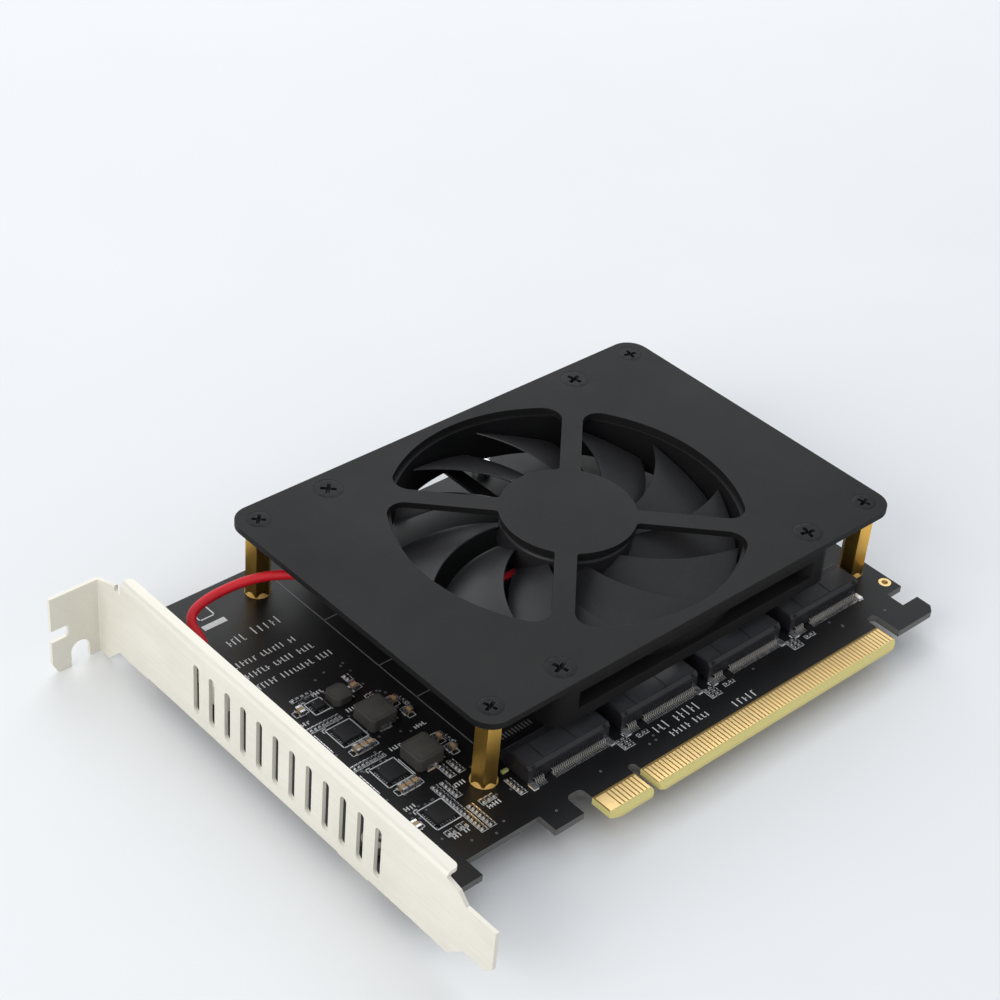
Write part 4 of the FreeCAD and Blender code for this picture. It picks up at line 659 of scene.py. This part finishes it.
# %% Soften the large pieces
SOFTENED = [
    # node, finish, rounding in millimetres, slot
    ("bracket", "bracket plate", 0.14, "bracket_plate"),
    ("cover_plate", "cover paint", 0.22, "cover_paint"),
    ("fan_frame", "fan moulding", 0.25, "fan_moulding"),
    ("fan_header", "nylon white", 0.12, "header_white"),
    ("power_inductors", "pressed ferrite", 0.20, "ferrite"),
    ("standby_inductor", "pressed ferrite", 0.16, "ferrite"),
    ("regulator_chips", "moulded chip", 0.06, "chip_black"),
    ("clock_chip", "moulded chip", 0.06, "chip_black"),
    ("standby_chip", "moulded chip", 0.06, "chip_black"),
    ("ceramic_capacitors", "fired ceramic", 0.06, "ceramic_tan"),
    ("power_lamp", "lamp resin", 0.10, "lamp_clear"),
]
for number in SOCKETS:
    SOFTENED.append((f"drive_socket_{number}", "socket moulding", 0.15, "socket_black"))
for node, finish, width, slot in SOFTENED:
    add_piece(node + "_dressed", softened(node, width), finish, replaced=[node])

CORNER_RADIUS = 1.2
bm = welded("circuit_board")
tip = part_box("circuit_board")[0].y
corners = []
for edge in bm.edges:
    first, second = (vert.co for vert in edge.verts)
    if max(first.y, second.y) < tip + 0.05 * MM and abs(first.x - second.x) < 0.01 * MM:
        corners.append(edge)
round_edges(bm, corners, CORNER_RADIUS, segments=6)
add_piece("circuit_board_dressed", bm, "board lacquer",
          replaced=["circuit_board"], smooth=25)

# %% [markdown]
# ## Screws
# A screw's head is what shows of it. Each head is a turned profile with a rounded rim, and its
# cross recess narrows as it goes down, so a driver's tip would seat in it. The recess is cut by
# filling the flat between the rim and the cross, and then pushing the cross's own edge down.

# %% Build the screws
CROSS_DEPTH = 0.95
CROSS_TAPER = 0.62
ARM_SHARE = 0.29


def add_cross_screw(bm, centre, radius, top, foot, low, shank, cross, turn, down):
    """A screw in millimetres: a head from top to foot, a shank to low, and a cross in its top."""
    sign, steps = -1.0 if down else 1.0, 40
    wide = cross * ARM_SHARE
    corners = []
    for quarter in range(4):
        base = math.radians(turn) + quarter * math.pi / 2
        for across, along in ((-wide / 2, cross / 2), (wide / 2, cross / 2), (wide / 2, wide / 2)):
            out = Vector((along, across))
            corners.append((out.length, base + math.atan2(out.y, out.x)))
    corners.sort(key=lambda pair: pair[1])
    upper = add_ring(bm, centre, corners, top * sign)
    rim = add_ring(bm, centre, circle(radius - 0.16, steps), top * sign)
    edges = [bm.edges.new((a, b)) for a, b in zip(rim, rim[1:] + rim[:1])]
    edges += [bm.edges.new((a, b)) for a, b in zip(upper, upper[1:] + upper[:1])]
    bmesh.ops.triangle_fill(bm, edges=edges, use_beauty=True, use_dissolve=False)
    lower = add_ring(bm, centre, [(r * CROSS_TAPER, angle) for r, angle in corners],
                     (top - CROSS_DEPTH) * sign)
    join_rings(bm, upper, lower)
    bm.faces.new(lower)
    profile = [(radius - 0.05, top - 0.04), (radius, top - 0.15), (radius, foot + 0.1),
               (radius - 0.08, foot), (shank, foot), (shank, low + 0.3), (shank - 0.3, low)]
    before = rim
    for r, z in profile:
        after = add_ring(bm, centre, circle(r, steps), z * sign)
        join_rings(bm, before, after)
        before = after
    bm.faces.new(before)


SCREW_SETS = [
    # node, finish, slot, height of the head, shank, cross, upside down
    ("cover_screws", "black screw", "black_steel", 0.9, 1.2, 3.2, False),
    ("fan_screws", "black screw", "black_steel", 0.7, 1.95, 3.6, False),
    ("pillar_screws", "bright screw", "screw_steel", 1.9, 1.2, 3.0, True),
    ("bracket_screws", "dull screw", "screw_steel", 1.9, 1.2, 3.0, False),
]
for node, finish, slot, head, shank, cross, down in SCREW_SETS:
    bm = bmesh.new()
    for count, (low, high) in enumerate(spans(node)):
        radius = (high.x - low.x) / 2
        top, end = (-low.z, -high.z) if down else (high.z, low.z)
        add_cross_screw(bm, middle(low, high), radius, top, top - head, end, shank, cross,
                        turn=17 + 29 * count, down=down)
    add_piece(node + "_dressed", bm, finish, replaced=[node], smooth=35)

# %% [markdown]
# ## Pillars
# The pillars are hexagonal brass rod, faced and chamfered in a lathe. A lathe's chamfer is a cone,
# so it cuts each corner of the hexagon further than each flat, and leaves a curved edge. At every
# height the section's radius is the smaller of the hexagon's and the cone's. The foot is left less
# chamfered, because it stands in a low tapered collar, through which only the corners show.

# %% Turn the pillars
PILLAR_FLATS = 5.0
PILLAR_TURN = 15.0
CONE_DEPTH, CONE_SLOPE, FOOT_SPARED = 0.95, 1.25, 0.5


def add_pillar(bm, low, high):
    """A hexagonal pillar between two corners, its ends cut by a cone."""
    half, sixth = PILLAR_FLATS / 2, math.pi / 3
    heights = [0.0, 0.1, 0.2, 0.32, 0.45, 0.6, 0.8]
    rings = []
    for z in [low.z + h for h in heights] + [high.z - h for h in reversed(heights)]:
        cone = min(z - low.z + FOOT_SPARED, high.z - z) * CONE_SLOPE - CONE_DEPTH
        limit = half / math.cos(sixth / 2) + cone
        places = []
        for _, angle in circle(half, 96):
            hexagon = half / math.cos((angle + sixth / 2) % sixth - sixth / 2)
            places.append((min(hexagon, limit), angle + math.radians(PILLAR_TURN)))
        rings.append(add_ring(bm, middle(low, high), places, z))
    for lower, upper in zip(rings, rings[1:]):
        for wall in join_rings(bm, lower, upper):
            wall.normal_update()
            # upright walls are plain brass, and the chamfers get the brighter brass, a painted
            # highlight
            wall.material_index = 1 if abs(wall.normal.z) > 0.2 else 0
    bm.faces.new(rings[0])
    bm.faces.new(rings[-1])


bm = bmesh.new()
for low, high in spans("brass_pillars"):
    add_pillar(bm, low, high)
add_piece("pillars_turned", bm, ["pillar brass", "cut brass"],
          replaced=["brass_pillars"], smooth=20)

# %% [markdown]
# ## The fan's rotor
# Eleven blades sweep forward and are cambered, so a flat sheet won't do. Each is a grid that is
# bent by two rules, one for how the chord rises and sags and one for how the sweep grows with
# radius. Its two skins stand off a middle surface, thickest a third of the way along, and meet in
# thin rounded edges.

# %% Mould the rotor
BLADES = 11
HUB_RADIUS, TIP_RADIUS = 14.4, 36.35
BLADE_SWEEP, BLADE_SPAN = math.radians(33.0), math.radians(29.0)
BLADE_LOW, BLADE_HIGH = 10.6, 15.75
BLADE_SAG = 0.13
BLADE_EDGE, BLADE_BULGE = 0.22, 0.72
TIP_LIMIT = (TIP_RADIUS + 0.04) * MM
FAN_MIDDLE = middle(*box("rotor_shaft"))


def blade_spot(share, chord):
    """A point of a blade's middle surface: share runs from hub to tip, chord from low to high."""
    radius = HUB_RADIUS - 0.5 + (TIP_RADIUS - HUB_RADIUS + 0.5) * share
    angle = BLADE_SWEEP * share ** 0.9 + BLADE_SPAN * (chord - 0.5)
    tall = BLADE_HIGH - 0.7 * (1 - share) ** 2 - BLADE_LOW
    rise = BLADE_LOW + tall * chord - 4 * BLADE_SAG * tall * chord * (1 - chord)
    return Vector((radius * math.cos(angle), radius * math.sin(angle), rise)) * MM


def blade_normal(share, chord, step=0.01):
    """The direction square to a blade's middle surface."""
    one = blade_spot(min(share + step, 1), chord) - blade_spot(max(share - step, 0), chord)
    two = blade_spot(share, min(chord + step, 1)) - blade_spot(share, max(chord - step, 0))
    return one.cross(two).normalized()


def add_blade(bm, turn, around=12, along=14):
    spin = Matrix.Rotation(turn, 3, "Z")
    skins = []
    for side in (1, -1):
        skin = []
        for i in range(along + 1):
            row = []
            for j in range(around + 1):
                share, chord = i / along, j / around
                bulge = max(math.sin(math.pi * chord ** 0.75), 0.0)
                thick = (BLADE_EDGE + BLADE_BULGE * bulge ** 0.7) * MM
                stand = blade_normal(share, chord) * side * thick / 2
                spot = spin @ (blade_spot(share, chord) + stand)
                trim = min(TIP_LIMIT / math.hypot(spot.x, spot.y), 1.0)
                spot = Vector((spot.x * trim, spot.y * trim, spot.z))
                row.append(bm.verts.new(spot + FAN_MIDDLE * MM))
            skin.append(row)
        skins.append(skin)
    first, second = skins
    for i in range(along):
        for j in range(around):
            for skin, order in ((first, 1), (second, -1)):
                corners = (skin[i][j], skin[i + 1][j], skin[i + 1][j + 1], skin[i][j + 1])
                bm.faces.new(corners[::order])
    border = [(i, 0) for i in range(along)] + [(along, j) for j in range(around)]
    border += [(i, around) for i in range(along, 0, -1)] + [(0, j) for j in range(around, 0, -1)]
    for (i, j), (m, n) in zip(border, border[1:] + border[:1]):
        bm.faces.new((first[i][j], second[i][j], second[m][n], first[m][n]))


bm = bmesh.new()
for k in range(BLADES):
    add_blade(bm, 2 * math.pi * k / BLADES)
cup = [(0.0, 16.25), (9.6, 16.25), (9.8, 16.4), (13.4, 16.4)]
for step in range(1, 6):
    turn = math.pi / 2 * step / 5
    cup.append((13.5 + 0.9 * math.sin(turn), 15.5 + 0.9 * math.cos(turn)))
cup += [(14.4, 10.2), (14.3, 10.1), (13.4, 10.1), (13.3, 10.2), (13.3, 15.3), (3.0, 15.3),
        (3.0, 14.4), (1.6, 14.4), (1.55, 14.45), (1.55, 15.8), (0.0, 15.8)]
add_turned(bm, cup, FAN_MIDDLE, steps=96)
add_piece("rotor_moulded", bm, "rotor moulding", body="rotor",
          replaced=["impeller"], smooth=38)

# %% [markdown]
# ## Drive sockets
# Each socket is a moulded block with a lid over its springs. Its tails leave the front wall,
# step down like a gull's wing and end in flat feet, soldered to pads. Ribs between the tails keep
# them apart, and a bracketed peg at each end holds the socket to the board.

# %% Add the sockets' tails, ribs and lids
LID_SPANS = ((0.35, 4.2), (4.6, 12.9), (13.3, 21.25))
tails, ribs, lids, pads = bmesh.new(), bmesh.new(), bmesh.new(), bmesh.new()


def add_tail(bm, x, width, foot):
    """A bent strip: foot, slope and shoulder, as one profile in Y and Z pushed out along X."""
    bent = [(0.0, 0.0), (0.0, 0.14), (0.55, 0.15), (0.8, 1.0), (1.35, 1.05), (1.35, 0.9),
            (0.92, 0.86), (0.66, 0.0)]
    left, right = ([bm.verts.new(Vector((x + end, foot + y, z)) * MM) for y, z in bent]
                   for end in (-width / 2, width / 2))
    join_rings(bm, left, right)
    bm.faces.new(left)
    bm.faces.new(right[::-1])


for number in SOCKETS:
    feet = spans(f"socket_contacts_{number}")
    for low, high in feet:
        x = (low.x + high.x) / 2
        add_tail(tails, x, high.x - low.x, low.y)
        add_line(pads, (x, low.y - 0.35), (x, low.y + 0.8), 0.29, 0.025)
    for (low, high), (after, _) in zip(feet, feet[1:]):
        if after.x - high.x < 0.5:
            x = (high.x + after.x) / 2
            add_box(ribs, (x - 0.1, high.y - 0.25, 0.35), (x + 0.1, high.y + 0.1, 2.3))
    low, high = box(f"drive_socket_{number}")
    for start, end in LID_SPANS:
        add_box(lids, (low.x + start, low.y + 0.9, high.z - 0.05),
                (low.x + end, high.y - 2.7, high.z + 0.09), 0.06)
    for start in (1.0, 20.0):
        add_box(ribs, (low.x + start, low.y - 0.02, 1.6),
                (low.x + start + 0.6, low.y + 0.4, high.z), 0.05)
add_piece("socket_tails", tails, "spring tin")
add_piece("socket_ribs", ribs, "socket moulding")
add_piece("socket_lids", lids, "socket lid")

# %% [markdown]
# ## Soldered parts
# Every small part sits on tinned pads a little wider than its ends. The resistors are dark glass
# between bright end caps, the chips have a row of lands along each side, and the pads shine
# because molten solder sets smooth.

# %% Add resistors, lands and pads
resistors, caps, marks, lands = bmesh.new(), bmesh.new(), bmesh.new(), bmesh.new()
CAP_SHARE = 0.22


def recut(low, high, axis, start, end):
    """Copies of two corners with their places along one axis changed."""
    low, high = low.copy(), high.copy()
    low[axis], high[axis] = start, end
    return low, high


def long_axis(low, high):
    return 0 if high.x - low.x > high.y - low.y else 1


for low, high in spans("chip_resistors"):
    axis = long_axis(low, high)
    start, end = low[axis], high[axis]
    size = end - start
    add_box(resistors, *recut(low, high, axis, start + 0.2 * size, end - 0.2 * size), 0.04, 1)
    for cap, pad in (((start, start + CAP_SHARE * size), (start - 0.2, start + 0.25)),
                     ((end - CAP_SHARE * size, end), (end - 0.25, end + 0.2))):
        cap_low, cap_high = recut(low, high, axis, *cap)
        cap_high.z += 0.015
        add_box(caps, cap_low, cap_high, 0.04, 1)
        add_line(pads, *recut(low, high, axis, *pad), 0.04, 0.03)
for node, grow, thick in (("capacitor_ends", 0.28, 0.035), ("socket_hold_downs", 0.3, 0.035),
                          ("inductor_terminals", 0.4, 0.03)):
    for low, high in spans(node):
        add_line(pads, low, high, grow, thick)

chips = spans("regulator_chips") + spans("clock_chip") + spans("standby_chip")
for low, high in chips:
    side = high.x - low.x
    count = max(3, int(side / 0.62))
    for n in range(count):
        along = (n + 0.5) / count * (side - 0.7) + 0.35
        for a, b in ((low.y - 0.32, low.y + 0.1), (high.y - 0.1, high.y + 0.32)):
            add_line(lands, (low.x + along, a), (low.x + along, b), 0.24, 0.06)
        for a, b in ((low.x - 0.32, low.x + 0.1), (high.x - 0.1, high.x + 0.32)):
            add_line(lands, (a, low.y + along), (b, low.y + along), 0.24, 0.06)
    add_turned(marks, [(0.0, 0.012), (0.16, 0.012), (0.16, -0.02)],
               (low.x + 0.55, high.y - 0.55, high.z), steps=16)
add_piece("resistor_glass", resistors, "glazed resistor",
          replaced=["chip_resistors"])
add_piece("resistor_caps", caps, "tin solder")
add_piece("chip_lands", lands, "tin solder")
add_piece("chip_dots", marks, "grey print")

tops = bmesh.new()
for node, rim in (("power_inductors", 0.75), ("standby_inductor", 0.8)):
    for low, high in spans(node):
        add_box(tops, (low.x + rim, low.y + rim, high.z - 0.05),
                (high.x - rim, high.y - rim, high.z + 0.04), 0.04)
add_piece("inductor_tops", tops, "inductor top")

# %% [markdown]
# ## Vias, plating and collars
# A via is a small tinned rim where a track passes through the board. The earth hole's plating
# lines it and ends in a slim rim, and a collar holds each pillar's foot.

# %% Add vias, plating and collars
BACK = box("circuit_board")[0].z
picker = random.Random(7)
spots = [(-20.0, 8.0), (78.0, 9.0), (3.2, 14.0), (28.2, 14.0), (53.2, 14.0)]
for low, high in chips:
    for n in range(7):
        spots.append((picker.uniform(low.x - 2.4, high.x + 2.4), high.y + picker.uniform(0.9, 2.2)))
for n in range(60):
    spots.append((picker.uniform(-46.0, -22.0), picker.uniform(9.0, 66.0)))
for n in range(10):
    spots.append((picker.uniform(-8.0, 70.0), picker.uniform(9.4, 13.6)))
vias = bmesh.new()
for x, y in spots:
    for face, sign in ((0.0, 1), (BACK, -1)):
        ring = [(r, face + z * sign) for r, z in ((0.13, 0.012), (0.26, 0.012), (0.28, -0.01))]
        add_turned(vias, ring, (x, y, 0.0), steps=12)
add_piece("via_rims", vias, "grey print")
add_piece("solder_pads", pads, "tin solder")

plating, collars = bmesh.new(), bmesh.new()
bore = [(0.75, 0.05), (1.4, 0.05), (1.4, 0.0), (1.19, -0.01), (1.19, BACK), (0.75, BACK)]
add_turned(plating, bore, middle(*box("plated_ring")), steps=40, closed=True)
add_piece("earth_hole_plating", plating, "gold plate", replaced=["plated_ring"])
# the collars take the brighter brass: a painted highlight and painted reflection of the pillars
collar = [(1.8, 0.0), (1.8, 1.2), (2.45, 1.25), (2.82, 0.08), (2.84, 0.0)]
for low, high in spans("brass_pillars"):
    add_turned(collars, collar, middle(low, high), steps=56)
add_piece("pillar_collars", collars, "cut brass")

# %% [markdown]
# ## Print on the board
# White print outlines the parts and shows where a drive lies. Real cards carry wording too, and
# here its place holds rows of plain ticks that spell nothing. Print is a thin layer of ink, so
# it is raised two hundredths of a millimetre and no more.

# %% Print the board
ink, faint = bmesh.new(), bmesh.new()


def add_ticks(bm, start, length, height, pitch, seed):
    """A row of short upright ticks in groups, like wording seen from too far to read."""
    chooser = random.Random(seed)
    x, run = start[0], chooser.randint(3, 7)
    while x < start[0] + length:
        if run == 0:
            run = chooser.randint(3, 8)
            x += pitch
            continue
        tall = height * chooser.choice((1.0, 1.0, 0.8))
        add_line(bm, (x, start[1]), (x, start[1] + tall), 0.26)
        if chooser.random() < 0.55:
            level = start[1] + tall * chooser.choice((0.0, 0.5, 1.0))
            add_line(bm, (x, level), (x + 0.42, level), 0.2)
        x += pitch
        run -= 1


for low, high in chips:
    rim = 0.75
    add_outline(ink, (low.x - rim, low.y - rim), (high.x + rim, high.y + rim), 0.24)
    add_line(ink, (low.x - 1.25, high.y + 1.2), (low.x - 0.3, high.y + 1.2), 0.22)
    add_line(ink, (low.x - 1.25, high.y + 0.3), (low.x - 1.25, high.y + 1.2), 0.22)
for node in ("power_inductors", "standby_inductor"):
    for low, high in spans(node):
        for x in (low.x - 0.45, high.x + 0.45):
            add_line(ink, (x, low.y + 0.8), (x, high.y - 0.8), 0.2)
for low, high in spans("ceramic_capacitors"):
    x, y = (0.95, 0.35) if long_axis(low, high) == 0 else (0.35, 0.95)
    add_outline(ink, (low.x - x, low.y - y), (high.x + x, high.y + y), 0.15)
margin = Vector((0.2, 0.2, 0.0))
for low, high in spans("chip_resistors"):
    axis = long_axis(low, high)
    low, high = low - margin, high + margin
    for side in (low[1 - axis], high[1 - axis]):
        add_line(ink, *recut(low, high, 1 - axis, side, side), 0.11)
    end = low[axis] - 0.16
    add_line(ink, *recut(low, high, axis, end, end), 0.11)

# places of the parts' own short labels
LABELS = ((-33.9, 53.4, 2.6), (-34.2, 39.6, 2.6), (-42.6, 25.2, 2.6), (-36.6, 61.2, 2.2),
          (-31.5, 24.4, 3.2), (-29.6, 16.2, 3.0), (-44.4, 55.4, 3.4), (-26.4, 41.6, 2.2),
          (4.8, 15.0, 2.0), (29.8, 15.0, 2.0), (54.8, 15.0, 2.0), (-40.0, 14.2, 3.6))
for n, (x, y, length) in enumerate(LABELS):
    add_ticks(ink, (x, y), length, 0.8, 0.7, 20 + n)

# the drives' outline, their length marks and the first socket's corner
add_line(faint, (-20.3, 26.0), (-20.3, 95.0), 0.22)
for y in (48.7, 60.6, 78.5):
    add_line(faint, (-20.3, y), (-16.5, y), 0.22)
for n in range(12):
    add_line(faint, (-16.5 + 0.85 * n, 28.9), (-16.5 + 0.85 * n, 30.1), 0.3)

# plain marks in place of the wording
add_outline(ink, (-40.8, 93.6), (-37.2, 97.4), 0.3)
add_line(ink, (-41.6, 90.6), (-36.4, 91.6), 0.5)
ROWS = [
    # start, length, height, pitch, seed
    ((-40.5, 83.3), 3.6, 2.0, 1.15, 3),
    ((-33.9, 83.5), 7.4, 2.2, 1.5, 5),
    ((-44.0, 77.0), 15.5, 1.35, 1.0, 9),
    ((-44.6, 73.1), 17.3, 1.35, 1.0, 10),
    ((-44.6, 69.2), 19.1, 1.35, 1.0, 11),
    ((11.2, 11.6), 12.2, 2.0, 1.45, 14),
    ((13.0, 9.0), 10.4, 1.3, 1.1, 16),
    ((29.6, 7.3), 6.4, 1.5, 1.35, 17),
]
for row in ROWS:
    add_ticks(ink, *row)
add_piece("board_print", ink, "white print")
add_piece("board_guides", faint, "grey print")

# %% [markdown]
# ## The back of the board
# The back has joints where the pegs, header legs and nuts come through, and print of its own. On
# the tongue, the first few contacts are joined by one wide land.

# %% Finish the back and the contacts
PEG_ROW, HEADER_ROW = 20.5, 70.2
PEG_JOINT = [(0.0, BACK - 0.45), (0.28, BACK - 0.42), (0.45, BACK - 0.18), (0.85, BACK)]
LEG_JOINT = [(0.0, BACK - 0.9), (0.25, BACK - 0.85), (0.4, BACK - 0.3), (0.8, BACK)]
joints, rings, back_ink = bmesh.new(), bmesh.new(), bmesh.new()
for number in SOCKETS:
    low, high = spans(f"drive_socket_{number}")[0]
    for x in (low.x + 1.6, high.x - 1.6):
        add_turned(joints, PEG_JOINT, (x, PEG_ROW, 0.0), steps=20)
    for y in (14.6, 26.4):
        add_box(back_ink, (low.x, y, BACK - 0.02), (high.x, y + 0.2, BACK + 0.01))
for low, high in spans("header_pins"):
    add_turned(joints, LEG_JOINT, ((low.x + high.x) / 2, HEADER_ROW, 0.0), steps=20)
for low, high in spans("pillar_screws") + spans("drive_nuts"):
    reach = (high.x - low.x) / 2 + 0.55
    ring = [(reach - 1.1, BACK - 0.02), (reach, BACK - 0.02), (reach + 0.02, BACK)]
    add_turned(rings, ring, middle(low, high), steps=40)
add_piece("back_joints", joints, "tin solder")
add_piece("back_rings", rings, "gold plate")
add_piece("back_print", back_ink, "white print")

low, high = spans("edge_contacts_component_side")[0]
bm = bmesh.new()
add_box(bm, (low.x, low.y, 0.0), (low.x + 2.7, high.y, 0.056))
add_piece("joined_contacts", bm, "gold plate")

# %% [markdown]
# ## The floor and the light
# The card stands on a plain pale floor. Soft light comes from all round, with one broad lamp beside
# the bracket for shape and one behind for the far edges. They are set so that a colour renders
# about as it is written.

# %% Set the stage
FLOOR_REACH = 3.0
SKY_COLOUR, SKY_STRENGTH = (0.93, 0.96, 1.0), 0.75
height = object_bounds()[0][2]
floor_mesh = bpy.data.meshes.new("floor")
sides = ((-1, -1), (1, -1), (1, 1), (-1, 1))
floor_mesh.from_pydata([(x * FLOOR_REACH, y * FLOOR_REACH, height) for x, y in sides],
                       [], [(0, 1, 2, 3)])
floor = add_object("floor", floor_mesh)
floor_mesh.materials.append(make_finish("floor paper", (0.80, 0.81, 0.82), (0.83, 0.84, 0.85),
                                        (0.75, 0.85), grain=(900.0, 0.02), patch=6.0))

world = bpy.data.worlds.new("studio")
world.use_nodes = True
scene.world = world
sky = world.node_tree.nodes["Background"].inputs
sky["Color"].default_value = rgb(*SKY_COLOUR)
sky["Strength"].default_value = SKY_STRENGTH


def add_lamp(name, place, size, power, colour):
    """A square softbox that faces the card's middle."""
    data = bpy.data.lights.new(name, "AREA")
    data.size = size
    data.energy = power
    data.color = colour
    lamp = add_object(name, data)
    lamp.location = place
    aim = Vector((0.01, 0.05, 0.0)) - lamp.location
    lamp.rotation_euler = aim.to_track_quat("-Z", "Y").to_euler()


add_lamp("key", (-1.05, 0.05, 0.50), 0.8, 6.4, (1.0, 0.985, 0.95))
add_lamp("rear", (0.55, 0.85, 0.75), 0.9, 5.0, (0.98, 0.99, 1.0))
print("floor at", round(height / MM, 2), "mm")
